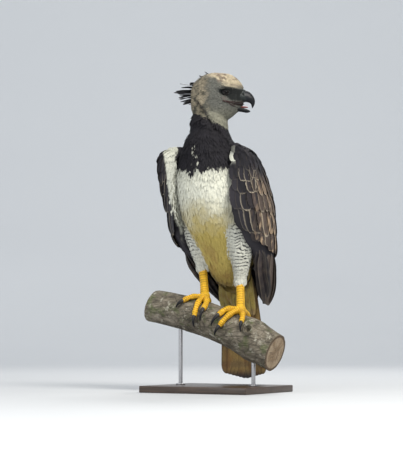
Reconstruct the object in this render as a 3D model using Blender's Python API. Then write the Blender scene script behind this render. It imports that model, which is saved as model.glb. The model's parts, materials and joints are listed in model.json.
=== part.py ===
"""A life-size harpy eagle on a cut length of branch, held by a plain display stand.

The bird faces -Y with its left wing at +X, and its head is turned over its left shoulder.
Heights of the bird are measured from the foot level, about where the soles rest on the branch.
"""
import math
import random

import bmesh
import bpy
from mathutils import Matrix, Vector

# Driving sizes, in metres
GAP = 0.0003
CUT_MARGIN = 0.00042
FOOT_LEVEL = 0.272
BASE_SIZE = (0.36, 0.30, 0.020)
BASE_CORNER = 0.045
ROD_RADIUS = 0.006
ROD_AT = (-0.125, 0.125)

PERCH_RADIUS = 0.054
PERCH_DROP = math.radians(19.0)
PERCH_TOP_AT_MIDDLE = -0.009
PERCH_FROM, PERCH_TO = -0.225, 0.215
KNOT_ALONG, KNOT_ROUND = 0.135, math.radians(58)

FOOT_ALONG = 0.0645
HEAD_AT = Vector((0.049, -0.021, 0.618))
HEAD_TURN = math.radians(110.0)
HEAD_SQUARE = 2.4
EYE_SIDE, EYE_RADIUS = 0.0342, 0.0115
WING_SKIN = 0.004
VANE_THICK = 0.001

# Colours of each finish: base colour, roughness
FINISHES = {
    "grey_down": ((0.42, 0.40, 0.36), 0.9),
    "black_down": ((0.03, 0.03, 0.035), 0.85),
    "white_down": ((0.62, 0.60, 0.48), 0.9),
    "slate_feather": ((0.07, 0.06, 0.055), 0.7),
    "tail_feather": ((0.33, 0.27, 0.15), 0.75),
    "barred_down": ((0.58, 0.57, 0.52), 0.9),
    "yellow_scute": ((0.78, 0.52, 0.03), 0.5),
    "black_claw": ((0.02, 0.02, 0.022), 0.3),
    "bill_horn": ((0.025, 0.028, 0.03), 0.35),
    "tongue_flesh": ((0.45, 0.2, 0.18), 0.45),
    "eye_glass": ((0.06, 0.045, 0.04), 0.1),
    "bark": ((0.30, 0.26, 0.19), 0.95),
    "stand_board": ((0.07, 0.05, 0.04), 0.5),
    "stand_steel": ((0.45, 0.45, 0.46), 0.35),
}

# Neck and trunk: height, middle in y, half width, depth to the front, depth to the back
TRUNK_SECTIONS = (
    (0.575, -0.036, 0.050, 0.050, 0.050),
    (0.545, -0.039, 0.060, 0.062, 0.060),
    (0.510, -0.040, 0.062, 0.064, 0.062),
    (0.480, -0.042, 0.074, 0.076, 0.070),
    (0.450, -0.032, 0.090, 0.094, 0.086),
    (0.415, -0.022, 0.106, 0.104, 0.104),
    (0.384, -0.015, 0.114, 0.110, 0.120),
    (0.345, -0.010, 0.118, 0.114, 0.135),
    (0.300, -0.002, 0.120, 0.112, 0.144),
    (0.250, 0.010, 0.116, 0.102, 0.144),
    (0.200, 0.026, 0.106, 0.088, 0.130),
    (0.150, 0.046, 0.090, 0.072, 0.108),
    (0.105, 0.068, 0.072, 0.062, 0.084),
    (0.070, 0.086, 0.054, 0.048, 0.062),
    (0.048, 0.098, 0.030, 0.028, 0.036),
)

# Head, in its own frame with the point between the eyes at the origin: distance in front of the
# eyes, top, bottom, half width
HEAD_SECTIONS = (
    (-0.107, 0.010, -0.040, 0.020),
    (-0.101, 0.034, -0.062, 0.039),
    (-0.085, 0.052, -0.078, 0.052),
    (-0.060, 0.065, -0.086, 0.059),
    (-0.035, 0.069, -0.088, 0.058),
    (-0.012, 0.067, -0.084, 0.051),
    (0.008, 0.063, -0.074, 0.042),
    (0.024, 0.053, -0.060, 0.034),
    (0.036, 0.041, -0.050, 0.027),
    (0.045, 0.028, -0.040, 0.021),
    (0.050, 0.016, -0.028, 0.015),
)

# Upper bill: ridge (forward, up), cutting edge (forward, up), half width
UPPER_BILL = (
    ((0.030, 0.020), (0.022, -0.030), 0.0215),
    ((0.046, 0.0165), (0.036, -0.029), 0.0195),
    ((0.057, 0.0105), (0.047, -0.026), 0.0165),
    ((0.0655, 0.0075), (0.0565, -0.0245), 0.0135),
    ((0.0745, -0.001), (0.064, -0.026), 0.0108),
    ((0.0815, -0.0115), (0.0695, -0.0285), 0.0082),
    ((0.0843, -0.0225), (0.0728, -0.033), 0.0060),
    ((0.0822, -0.0340), (0.0742, -0.0385), 0.0038),
    ((0.0772, -0.0430), (0.0752, -0.0440), 0.0012),
)
LOWER_BILL = (
    ((0.016, -0.036), (0.014, -0.052), 0.0165),
    ((0.032, -0.0395), (0.031, -0.0525), 0.0145),
    ((0.046, -0.0405), (0.046, -0.0545), 0.0120),
    ((0.058, -0.0430), (0.058, -0.0570), 0.0088),
    ((0.066, -0.0475), (0.0655, -0.0560), 0.0052),
    ((0.0700, -0.0510), (0.0697, -0.0535), 0.0016),
)

# Line of the open mouth from its corner to the bill: distance in front of the eyes and above them
MOUTH_LINE = ((-0.004, -0.0235), (0.012, -0.0270), (0.028, -0.0315), (0.0475, -0.0345))

# Folded left wing, as the outer line of its feathers: height, then front edge, outermost line,
# rear corner and rear edge, each as x, y
WING_LEVELS = (
    (0.466, (0.092, -0.064), (0.106, -0.068), (0.104, -0.050), (0.088, -0.040)),
    (0.455, (0.090, -0.070), (0.128, -0.080), (0.117, -0.030), (0.082, -0.006)),
    (0.430, (0.095, -0.080), (0.152, -0.082), (0.132, 0.004), (0.084, 0.050)),
    (0.400, (0.100, -0.088), (0.160, -0.072), (0.137, 0.036), (0.080, 0.094)),
    (0.345, (0.103, -0.090), (0.160, -0.055), (0.143, 0.068), (0.068, 0.128)),
    (0.282, (0.105, -0.087), (0.158, -0.030), (0.147, 0.092), (0.050, 0.156)),
    (0.199, (0.112, -0.048), (0.152, 0.002), (0.142, 0.113), (0.026, 0.178)),
    (0.142, (0.107, 0.026), (0.137, 0.045), (0.134, 0.126), (0.016, 0.192)),
    (0.092, (0.096, 0.082), (0.118, 0.080), (0.120, 0.148), (0.018, 0.202)),
    (0.035, (0.080, 0.134), (0.094, 0.138), (0.099, 0.178), (0.036, 0.212)),
    (-0.010, (0.064, 0.176), (0.072, 0.180), (0.073, 0.198), (0.052, 0.208)),
)
# How far the wing's inner face goes from the outer line towards the line between its edges
WING_DEPTH = (
    (0.466, 1.0),
    (0.345, 1.0),
    (0.282, 0.95),
    (0.199, 0.80),
    (0.142, 0.45),
    (0.092, 0.28),
    (0.035, 0.30),
    (-0.010, 0.60),
)

# Feathered thigh of the left leg: height above the top of the bare shank, centre x, y, half width,
# half depth
THIGH_SECTIONS = (
    (0.200, 0.078, 0.000, 0.036, 0.046),
    (0.150, 0.080, 0.004, 0.038, 0.050),
    (0.100, 0.078, 0.012, 0.036, 0.046),
    (0.060, 0.073, 0.020, 0.031, 0.038),
    (0.028, 0.068, 0.026, 0.0255, 0.030),
    (0.006, 0.065, 0.028, 0.0195, 0.022),
    (-0.004, 0.065, 0.028, 0.0125, 0.0145),
)
SHANK_TOP = {1: 0.050, -1: 0.094}

TAIL_ROOT = Vector((0.0, 0.126, 0.125))
TAIL_TIP = Vector((0.0, 0.182, -0.236))


def clear_scene():
    for obj in list(bpy.data.objects):
        bpy.data.objects.remove(obj, do_unlink=True)


def finish_of(name):
    """The material with this finish, made once."""
    if name in bpy.data.materials:
        return bpy.data.materials[name]
    colour, roughness = FINISHES[name]
    material = bpy.data.materials.new(name)
    material.use_nodes = True
    shader = material.node_tree.nodes["Principled BSDF"]
    shader.inputs["Base Color"].default_value = (*colour, 1.0)
    shader.inputs["Roughness"].default_value = roughness
    shader.inputs["Metallic"].default_value = 1.0 if name == "stand_steel" else 0.0
    material.diffuse_color = (*colour, 1.0)
    return material


def add_object(name, bm, finish, parent=None):
    """Turns a bmesh into a smooth-shaded object of the model's collection."""
    bmesh.ops.recalc_face_normals(bm, faces=bm.faces)
    mesh = bpy.data.meshes.new(name)
    bm.to_mesh(mesh)
    bm.free()
    mesh.materials.append(finish_of(finish))
    mesh.shade_smooth()
    mesh.set_sharp_from_angle(angle=math.radians(50))
    obj = bpy.data.objects.new(name, mesh)
    bpy.data.collections["harpy_eagle"].objects.link(obj)
    obj.parent = parent
    return obj


def add_empty(name, location, turn=0.0, parent=None):
    empty = bpy.data.objects.new(name, None)
    bpy.data.collections["harpy_eagle"].objects.link(empty)
    empty.location = location
    empty.rotation_euler = (0.0, 0.0, turn)
    empty.parent = parent
    return empty


def evaluated_mesh(obj):
    """The object's mesh as the viewport shows it, with its modifiers applied."""
    bpy.context.view_layer.update()
    graph = bpy.context.evaluated_depsgraph_get()
    return bpy.data.meshes.new_from_object(obj.evaluated_get(graph))


def keep_largest(mesh):
    """Drops every closed surface of the mesh but the one with the most volume."""
    bm = bmesh.new()
    bm.from_mesh(mesh)
    unseen = set(bm.faces)
    shells = []
    while unseen:
        stack = [unseen.pop()]
        shell = list(stack)
        while stack:
            for edge in stack.pop().edges:
                for face in edge.link_faces:
                    if face in unseen:
                        unseen.discard(face)
                        stack.append(face)
                        shell.append(face)
        shells.append(shell)

    def volume(shell):
        total = 0.0
        for face in shell:
            first = face.verts[0].co
            for a, b in zip(face.verts[1:-1], face.verts[2:]):
                total += first.dot(a.co.cross(b.co))
        return abs(total)

    shells.sort(key=volume)
    loose = {vert for shell in shells[:-1] for face in shell for vert in face.verts}
    bmesh.ops.delete(bm, geom=list(loose), context="VERTS")
    bm.to_mesh(mesh)
    bm.free()


def combine(target, others, operation, solver="EXACT"):
    """Applies one Boolean between the target and a group of closed objects, and removes the group."""
    group = bpy.data.collections.new("operands")
    bpy.context.scene.collection.children.link(group)
    for other in others:
        group.objects.link(other)
    modifier = target.modifiers.new("combine", "BOOLEAN")
    modifier.operation = operation
    modifier.operand_type = "COLLECTION"
    modifier.collection = group
    modifier.solver = solver
    made = evaluated_mesh(target)
    target.modifiers.clear()
    old = target.data
    target.data = made
    bpy.data.meshes.remove(old)
    for other in others:
        bpy.data.objects.remove(other, do_unlink=True)
    bpy.data.collections.remove(group)
    keep_largest(target.data)
    return target


def cut_with(target, *cutters, solver="EXACT"):
    """Cuts the target back from each cutter in turn."""
    for cutter in cutters:
        combine(target, [cutter], "DIFFERENCE", solver)
    return target


def spread(rows, height):
    """One row of sizes at this height, on a smooth curve through the rows' own heights."""
    rows = sorted(rows, key=lambda row: row[0])
    flat = [[row[0], *flatten(row[1:])] for row in rows]
    height = min(max(height, flat[0][0]), flat[-1][0])
    k = max(i for i in range(len(flat) - 1) if flat[i][0] <= height)
    low, high = flat[k], flat[k + 1]
    before = flat[max(k - 1, 0)]
    after = flat[min(k + 2, len(flat) - 1)]
    step = high[0] - low[0]
    s = (height - low[0]) / step
    out = []
    for c in range(1, len(low)):
        slope_low = (high[c] - before[c]) / (high[0] - before[0]) * step
        slope_high = (after[c] - low[c]) / (after[0] - low[0]) * step
        out.append(
            (2 * s**3 - 3 * s**2 + 1) * low[c]
            + (s**3 - 2 * s**2 + s) * slope_low
            + (3 * s**2 - 2 * s**3) * high[c]
            + (s**3 - s**2) * slope_high
        )
    return out


def flatten(values):
    for value in values:
        if isinstance(value, (tuple, list)):
            yield from flatten(value)
        else:
            yield value


def loft(rings, closed_ends=True):
    """A bmesh skinned over rings that have the same number of points."""
    bm = bmesh.new()
    rows = [[bm.verts.new(point) for point in ring] for ring in rings]
    count = len(rows[0])
    for low, high in zip(rows[:-1], rows[1:]):
        for i in range(count):
            j = (i + 1) % count
            bm.faces.new((low[i], low[j], high[j], high[i]))
    if closed_ends:
        for row in (rows[0], rows[-1]):
            middle = sum((vert.co for vert in row), Vector()) / count
            peak = bm.verts.new(middle)
            for i in range(count):
                bm.faces.new((row[i], row[(i + 1) % count], peak))
    return bm


def levels(rows, count, margin=0.0):
    """Evenly spread values of the first column, from the highest to the lowest."""
    high, low = max(row[0] for row in rows) + margin, min(row[0] for row in rows) - margin
    return [high + (low - high) * i / (count - 1) for i in range(count)]


def rounded(angle, power):
    """Cosine and sine of the angle, on a superellipse of this power."""
    c, s = math.cos(angle), math.sin(angle)
    return (
        math.copysign(abs(c) ** (2 / power), c),
        math.copysign(abs(s) ** (2 / power), s),
    )


def trunk_rings(margin, count=24, stations=20):
    rings = []
    for height in levels(TRUNK_SECTIONS, stations, margin):
        middle, half, front, back = spread(TRUNK_SECTIONS, height)
        ring = []
        for i in range(count):
            c, s = rounded(2 * math.pi * i / count, 2.15)
            depth = back if s > 0 else front
            ring.append(Vector(((half + margin) * c, middle + (depth + margin) * s, height)))
        rings.append(ring)
    return rings


def brow(forward, up, side):
    """How far the face stands out or sinks at a place of the head, above or round the eye."""
    ridge = math.exp(-(((forward - 0.004) / 0.020) ** 2) - ((up - 0.0135) / 0.0055) ** 2)
    hollow = math.exp(-(((forward - 0.006) / 0.016) ** 2) - ((up + 0.001) / 0.010) ** 2)
    lore = math.exp(-(((forward - 0.030) / 0.014) ** 2) - ((up + 0.004) / 0.012) ** 2)
    return side * (0.0075 * ridge - 0.0050 * hollow - 0.003 * lore)


def head_side(forward, up):
    """Half width of the head at a distance in front of the eyes and above them."""
    top, bottom, half = spread(HEAD_SECTIONS, forward)
    middle, tall = (top + bottom) / 2, (top - bottom) / 2
    share = min(1.0, abs(up - middle) / tall)
    wide = half * (1 - share**HEAD_SQUARE) ** (1 / HEAD_SQUARE)
    return wide + brow(forward, up, wide / half)


def head_rings(margin, count=24, stations=22):
    rings = []
    for forward in levels(HEAD_SECTIONS, stations):
        top, bottom, half = spread(HEAD_SECTIONS, forward)
        middle, tall = (top + bottom) / 2, (top - bottom) / 2
        ring = []
        for i in range(count):
            c, s = rounded(2 * math.pi * i / count, HEAD_SQUARE)
            x = (half + margin) * c
            z = middle + (tall + margin) * s
            ring.append(Vector((x + brow(forward, z, c), -forward, z)))
        rings.append(ring)
    return rings


def bill_rings(rows, margin, stations, sharp, count=12):
    """Rings of a bill half, each in the plane of its ridge, its edge and the sideways axis."""
    keyed = [(i / (len(rows) - 1), *row) for i, row in enumerate(rows)]
    rings = []
    for k in range(stations):
        ridge_f, ridge_u, edge_f, edge_u, half = spread(keyed, k / (stations - 1))
        ridge, edge = Vector((0, -ridge_f, ridge_u)), Vector((0, -edge_f, edge_u))
        middle, tall = (ridge + edge) / 2, (ridge - edge) / 2
        reach = 1 + margin / max(tall.length, 1e-4)
        ring = []
        for i in range(count):
            c, s = rounded(2 * math.pi * i / count, 2.0)
            wide = (half + margin) * c * (1 - sharp * s)
            ring.append(middle + tall * s * reach + Vector((wide, 0, 0)))
        rings.append(ring)
    back = (rings[0][0] - rings[1][0]).normalized() * margin
    rings[0] = [point + back for point in rings[0]]
    return rings


def thigh_rings(side, margin, count=14, stations=8):
    rings = []
    for rise in levels(THIGH_SECTIONS, stations, margin):
        x, y, half, deep = spread(THIGH_SECTIONS, rise)
        height = SHANK_TOP[side] + rise
        ring = []
        for i in range(count):
            angle = 2 * math.pi * i / count
            ring.append(
                Vector(
                    (
                        side * x + (half + margin) * math.cos(angle),
                        y + (deep + margin) * math.sin(angle),
                        height,
                    )
                )
            )
        rings.append(ring)
    return rings


def perch_radius(along):
    swell = 0.007 * math.exp(-(((along - KNOT_ALONG) / 0.040) ** 2))
    return PERCH_RADIUS + 0.010 * along + swell


def perch_point(along, turn, rise):
    """A place over the branch: along it, round from its top towards the front, and above its bark."""
    axis = Vector((math.cos(PERCH_DROP), 0, -math.sin(PERCH_DROP)))
    up = Vector((math.sin(PERCH_DROP), 0, math.cos(PERCH_DROP)))
    heart = Vector((0, 0, PERCH_TOP_AT_MIDDLE - PERCH_RADIUS / math.cos(PERCH_DROP)))
    bend = 0.020 * (along / 0.22) ** 2
    reach = perch_radius(along) + rise
    out = up * math.cos(turn) - Vector((0, 1, 0)) * math.sin(turn)
    return heart + axis * along - up * bend + out * reach


def perch_rings(margin, count=18, stations=9):
    rings = []
    for k in range(stations):
        along = PERCH_FROM + (PERCH_TO - PERCH_FROM) * k / (stations - 1)
        if k in (0, stations - 1):
            along += math.copysign(margin, along)
        rings.append(
            [perch_point(along, 2 * math.pi * i / count, margin) for i in range(count)]
        )
    return rings


def tube(points, radii, count=10, plates=None, rise=0.0):
    """A closed round body along a line, with a radius at each point.

    Where plates gives a way for each point, every second ring stands out that way, as scutes do.
    """
    rings = []
    frame_side = None
    for k, (point, radius) in enumerate(zip(points, radii)):
        ahead = points[min(k + 1, len(points) - 1)]
        behind = points[max(k - 1, 0)]
        along = (ahead - behind).normalized()
        if frame_side is None:
            frame_side = along.orthogonal().normalized()
        frame_side = (frame_side - along * frame_side.dot(along)).normalized()
        other = along.cross(frame_side)
        ring = []
        for i in range(count):
            angle = 2 * math.pi * i / count
            spoke = frame_side * math.cos(angle) + other * math.sin(angle)
            reach = radius
            if plates:
                reach += (rise if k % 2 else -rise / 2) * max(0.0, spoke.dot(plates[k]))
            ring.append(point + spoke * reach)
        rings.append(ring)
    return loft(rings)


def smooth_line(points, steps):
    """More points on a smooth curve through the given ones, evenly spaced in their order."""
    last = len(points) - 1
    out = []
    for i in range(steps + 1):
        at = last * i / steps
        k = min(int(at), last - 1)
        s = at - k
        p0, p1 = points[max(k - 1, 0)], points[k]
        p2, p3 = points[k + 1], points[min(k + 2, last)]
        out.append(
            0.5
            * (
                2 * p1
                + (p2 - p0) * s
                + (2 * p0 - 5 * p1 + 4 * p2 - p3) * s**2
                + (3 * p1 - p0 - 3 * p2 + p3) * s**3
            )
        )
    return out


def vane_body(stations):
    """A feather's vane: a thin closed plate over stations of four corners, split alike on both faces."""
    bm = bmesh.new()
    rows = [[bm.verts.new(corner) for corner in station] for station in stations]
    for low, high in zip(rows[:-1], rows[1:]):
        for i in range(4):
            j = (i + 1) % 4
            a, b, c, d = low[i], low[j], high[j], high[i]
            # Upper face 0-1 and lower face 2-3 run opposite ways, so their diagonals are swapped
            if i == 2:
                bm.faces.new((a, b, d))
                bm.faces.new((b, c, d))
            else:
                bm.faces.new((a, b, c))
                bm.faces.new((a, c, d))
    bm.faces.new(rows[0])
    bm.faces.new(rows[-1])
    return bm


def vane_width(share, blunt):
    """Width of a vane as a share of its widest, from its root at 0 to its tip at 1."""
    grow = min(1.0, 0.45 + 1.9 * share)
    fade = max(0.0, (share - blunt) / (1 - blunt))
    return grow * math.sqrt(max(0.0, 1 - fade**2)) + 0.30 * blunt * fade


def free_vane(root, line, side, up, width, blunt=0.55, steps=5, thick=VANE_THICK):
    """A vane along a line of offsets from its root, with its sides along one direction."""
    stations = []
    for k in range(steps + 1):
        share = k / steps
        middle = root + line(share)
        half = side * (width / 2 * vane_width(share, blunt))
        lift = up * (thick / 2)
        stations.append(
            (middle - half + lift, middle + half + lift, middle + half - lift, middle - half - lift)
        )
    return vane_body(stations)


def wing_point(share, height, side):
    """A place on the folded wing's outer line, from the front edge at 0 round to the rear edge at 1."""
    row = spread(WING_LEVELS, height)
    corners = [Vector((row[i], row[i + 1], height)) for i in range(0, 8, 2)]
    share = min(max(share, 0.0), 1.0)
    at = share * 3
    k = min(int(at), 2)
    s = at - k
    p1, p2 = corners[k], corners[k + 1]
    p0 = corners[k - 1] if k else p1 * 2 - p2
    p3 = corners[k + 2] if k < 2 else p2 * 2 - p1
    point = 0.5 * (
        2 * p1
        + (p2 - p0) * s
        + (2 * p0 - 5 * p1 + 4 * p2 - p3) * s**2
        + (3 * p1 - p0 - 3 * p2 + p3) * s**3
    )
    return Vector((side * point.x, point.y, point.z))


def wing_frame(share, height, side):
    """The outward direction and the rearward direction of the wing's outer line at a place."""
    step = 0.02
    rear = wing_point(share + step, height, side) - wing_point(share - step, height, side)
    down = wing_point(share, height - 0.008, side) - wing_point(share, height + 0.008, side)
    rear.normalize()
    out = down.cross(rear) * side
    out.normalize()
    return out, rear


def wing_core(side):
    """The body of the folded wing under its feathers, thick at the shoulder and thin at the tip."""
    shares = [i / 6 for i in range(7)]
    rings = []
    for height in levels(WING_LEVELS, 12):
        (depth,) = spread(WING_DEPTH, height)
        outer = [wing_point(share, height, side) for share in shares]
        heart = (outer[0] + outer[-1]) / 2
        outer = [point + (heart - point).normalized() * WING_SKIN for point in outer]
        inner = []
        for share, skin in zip(shares[1:-1], outer[1:-1]):
            chord = outer[0].lerp(outer[-1], share)
            inner.append(skin.lerp(chord, depth))
        rings.append(outer + inner[::-1])
    return loft(rings)


def wing_vane(side, share, root, tip, width, drift, steps, draw):
    """One feather lying on the wing: it rises from inside the core to stand proud at its tip."""
    sunk, proud = -0.0085, 0.0006
    lean = 0.09
    stations = []
    for k in range(steps + 1):
        part = k / steps
        height = root + (tip - root) * part
        centre = share + drift * part
        out, rear = wing_frame(centre, height, side)
        half = width / 2 * vane_width(part, 0.60)
        rise = sunk + (proud - sunk) * (1 - (1 - part) ** 2) + draw.uniform(-1, 1) * 0.0001
        middle = wing_point(centre, height, side) + out * rise
        edge = rear * half
        tilt = out * (half * lean)
        lift = out * (VANE_THICK / 2)
        stations.append(
            (
                middle - edge + tilt + lift,
                middle + edge - tilt + lift,
                middle + edge - tilt - lift,
                middle - edge + tilt - lift,
            )
        )
    return vane_body(stations)


# Rows of wing feathers: name, count, share of the first and last, height of root, height of the
# tips at the front and at the rear, width, stations along a feather
WING_ROWS = (
    ("primary", 5, (0.14, 0.80), 0.112, (0.030, -0.014), 0.052, 3),
    ("secondary", 6, (0.34, 0.97), 0.200, (0.140, 0.104), 0.060, 3),
    ("greater_covert", 6, (0.08, 0.96), 0.282, (0.205, 0.190), 0.060, 3),
    ("median_covert", 5, (0.08, 0.93), 0.356, (0.296, 0.278), 0.064, 3),
    ("lesser_covert", 5, (0.10, 0.92), 0.424, (0.368, 0.354), 0.054, 3),
)


def build_wing(side, parent):
    draw = random.Random(11 if side > 0 else 23)
    word = "left" if side > 0 else "right"
    name = f"wing_{word}"
    core = add_object(name, wing_core(side), "slate_feather", parent)
    vanes = []
    for row, count, (first, last), root, (front_tip, rear_tip), width, steps in WING_ROWS:
        for i in range(count):
            part = i / (count - 1)
            share = first + (last - first) * part
            tip = front_tip + (rear_tip - front_tip) * part + draw.uniform(-0.004, 0.004)
            if row == "primary":
                tip = 0.030 - 0.042 * math.sin(math.pi * (0.15 + 0.62 * part))
            drift = 0.10 * (0.5 - share) if row == "primary" else -0.02
            body = wing_vane(side, share, root, tip, width, drift, steps, draw)
            vanes.append(add_object(f"{row}_{word}_{i}", body, "slate_feather", parent))
    combine(core, vanes, "UNION", "MANIFOLD")
    trunk = add_object("trunk_cutter", loft(trunk_rings(CUT_MARGIN)), "black_down", parent)
    thigh = add_object("thigh_cutter", loft(thigh_rings(side, 0.0015)), "barred_down", parent)
    return cut_with(core, trunk, thigh, solver="MANIFOLD")


def build_tail(parent):
    """The tail with its twelve long feathers and the coverts over and under their roots."""
    run = TAIL_TIP - TAIL_ROOT
    along = run.normalized()
    across = Vector((1, 0, 0))
    back = across.cross(along) * -1
    if back.y < 0:
        back = -back
    core_rings = []
    for k in range(8):
        part = k / 7
        middle = TAIL_ROOT - along * 0.035 + along * (0.125 * part)
        half = 0.034 * (1 - 0.30 * part)
        deep = 0.019 * (1 - 0.72 * part)
        core_rings.append(
            [
                middle
                + across * (half * math.cos(2 * math.pi * i / 16))
                + back * (deep * math.sin(2 * math.pi * i / 16))
                for i in range(16)
            ]
        )
    tail = add_object("tail", loft(core_rings), "tail_feather", parent)
    vanes = []

    def lay(name, place, layer, root_shift, length, width, fan, bow, blunt=0.84, steps=5):
        """One tail vane: its place counts out from the middle, its layer from the back."""
        sign = math.copysign(1, place)
        root = TAIL_ROOT + along * root_shift + across * (place * 0.0042) + back * layer

        def line(share):
            sweep = across * (place * fan * share**1.1)
            return along * (length * share) + sweep + back * (bow * math.sin(math.pi * share))

        side = (across - back * (0.10 * sign)).normalized()
        body = free_vane(root, line, side, back, width, blunt=blunt, steps=steps)
        vanes.append(add_object(name, body, "tail_feather", parent))

    length = run.length
    for i in range(12):
        place = i - 5.5
        rank = abs(place) - 0.5
        layer = 0.0045 - 0.0016 * rank - 0.0008 * (place > 0)
        lay(f"rectrix_{i}", place, layer, 0.020, length - 0.020 - 0.003 * rank, 0.036, 0.0070, 0.002)
    for row, (count, reach, depth) in enumerate(((3, 0.118, 0.0100), (2, 0.080, 0.0125))):
        for i in range(count):
            place = 3.0 * (i - (count - 1) / 2) + 0.01
            rise = -depth + 0.0007 * (i % 2)
            lay(f"under_covert_{row}_{i}", place, rise, 0.018, reach, 0.042, 0.0030, -0.006, 0.5, 3)
    for row, (count, reach, depth) in enumerate(((3, 0.100, 0.0095), (2, 0.066, 0.0115))):
        for i in range(count):
            place = 3.0 * (i - (count - 1) / 2) + 0.01
            rise = depth + 0.0007 * (i % 2)
            lay(f"upper_covert_{row}_{i}", place, rise, 0.018, reach, 0.042, 0.0030, 0.005, 0.5, 3)
    combine(tail, vanes, "UNION", "MANIFOLD")
    trunk = add_object("trunk_cutter", loft(trunk_rings(CUT_MARGIN)), "black_down", parent)
    return cut_with(tail, trunk, solver="MANIFOLD")


# Rows of the crest: count, place of the roots in front of the eyes and above them, length, width,
# how steeply the vanes rise
CREST_ROWS = (
    (5, -0.078, 0.044, 0.080, 0.022, 0.26),
    (4, -0.092, 0.020, 0.070, 0.022, 0.06),
    (3, -0.056, 0.059, 0.054, 0.020, 0.46),
)


def crest_vanes(parent):
    """The dark crest, half raised: long vanes fanned from the nape and short ones on the crown."""
    draw = random.Random(5)
    vanes = []
    for row, (count, forward, up, length, width, rise) in enumerate(CREST_ROWS):
        for i in range(count):
            place = i - (count - 1) / 2
            fan = place / (count / 2)
            root = Vector((0.0110 * place, -forward, up - 0.016 * fan * fan))
            root *= 1 + draw.uniform(-0.02, 0.02)
            heading = Vector((0.34 * fan, 1.0, rise + draw.uniform(-0.08, 0.08))).normalized()
            side = Vector((1, -0.34 * fan, 0.20 * fan)).normalized()
            lift = heading.cross(side).normalized()
            reach = length * (1 - 0.25 * fan * fan) * draw.uniform(0.90, 1.06)
            droop = draw.uniform(0.04, 0.12)

            def line(share, heading=heading, reach=reach, droop=droop):
                return heading * (reach * share) - Vector((0, 0, droop * reach * share**2))

            body = free_vane(root, line, side, lift, width, blunt=0.45, steps=3)
            vanes.append(add_object(f"crest_{row}_{i}", body, "black_down", parent))
    return vanes


def eyelid_ring(side, parent):
    """The rim of skin round one eye, a ring laid on the ball of the eye."""
    bm = bmesh.new()
    rim, pipe, turns, sides = 0.0098, 0.0024, 10, 4
    rows = []
    for k in range(turns):
        angle = 2 * math.pi * k / turns
        spoke = Vector((0, math.cos(angle), math.sin(angle) * 0.88))
        row = []
        for i in range(sides):
            around = 2 * math.pi * i / sides
            row.append(
                bm.verts.new(
                    spoke * (rim + pipe * math.cos(around))
                    + Vector((side * pipe * math.sin(around), 0, 0))
                )
            )
        rows.append(row)
    for k in range(turns):
        for i in range(sides):
            j = (i + 1) % sides
            following = rows[(k + 1) % turns]
            bm.faces.new((rows[k][i], rows[k][j], following[j], following[i]))
    turn = Matrix.Rotation(-side * math.radians(22), 4, "Z")
    place = Matrix.Translation((side * (EYE_SIDE + 0.0066), -0.0026, 0))
    bmesh.ops.transform(bm, matrix=place @ turn, verts=bm.verts)
    return add_object(f"lid_{side}", bm, "bill_horn", parent)


def ball(name, radius, centre, finish, parent, stretch=(1, 1, 1), sides=20):
    bm = bmesh.new()
    bmesh.ops.create_uvsphere(bm, u_segments=sides, v_segments=sides // 2 + 1, radius=radius)
    bmesh.ops.scale(bm, vec=stretch, verts=bm.verts)
    bmesh.ops.translate(bm, vec=centre, verts=bm.verts)
    return add_object(name, bm, finish, parent)


def slice_off(source, name, finish, cuts):
    """A copy of a solid kept on the inner side of each plane, given as a point and the outward way."""
    bm = bmesh.new()
    bm.from_mesh(source.data)
    for point, outward in cuts:
        outward = Vector(outward).normalized()
        plane = Vector(point) - outward * (GAP / 2)
        everything = list(bm.verts) + list(bm.edges) + list(bm.faces)
        made = bmesh.ops.bisect_plane(
            bm, geom=everything, plane_co=plane, plane_no=outward, clear_outer=True
        )
        rim = [item for item in made["geom_cut"] if isinstance(item, bmesh.types.BMEdge)]
        filled = bmesh.ops.contextual_create(bm, geom=rim)
        bmesh.ops.triangulate(bm, faces=filled["faces"])
    obj = add_object(name, bm, finish, source.parent)
    keep_largest(obj.data)
    return obj


def build_flesh(bird, head_pose):
    """Head, neck and trunk as one body, parted by two thin cuts."""
    trunk = add_object("trunk", loft(trunk_rings(0)), "black_down", bird)
    head_form = add_object("head_form", loft(head_rings(0)), "grey_down", head_pose)
    combine(trunk, [head_form], "UNION")
    hood_edge = (Vector((0, -0.028, 0.533)), Vector((0.355, 0.205, 0.91)))
    neck_root = (Vector((0, -0.030, 0.452)), Vector((0, -0.22, 0.97)))
    head = slice_off(trunk, "head", "grey_down", [(hood_edge[0], -hood_edge[1])])
    neck = slice_off(trunk, "neck", "black_down", [hood_edge, (neck_root[0], -neck_root[1])])
    torso = slice_off(trunk, "torso", "white_down", [neck_root])
    bpy.data.objects.remove(trunk, do_unlink=True)
    return head, neck, torso


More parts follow.
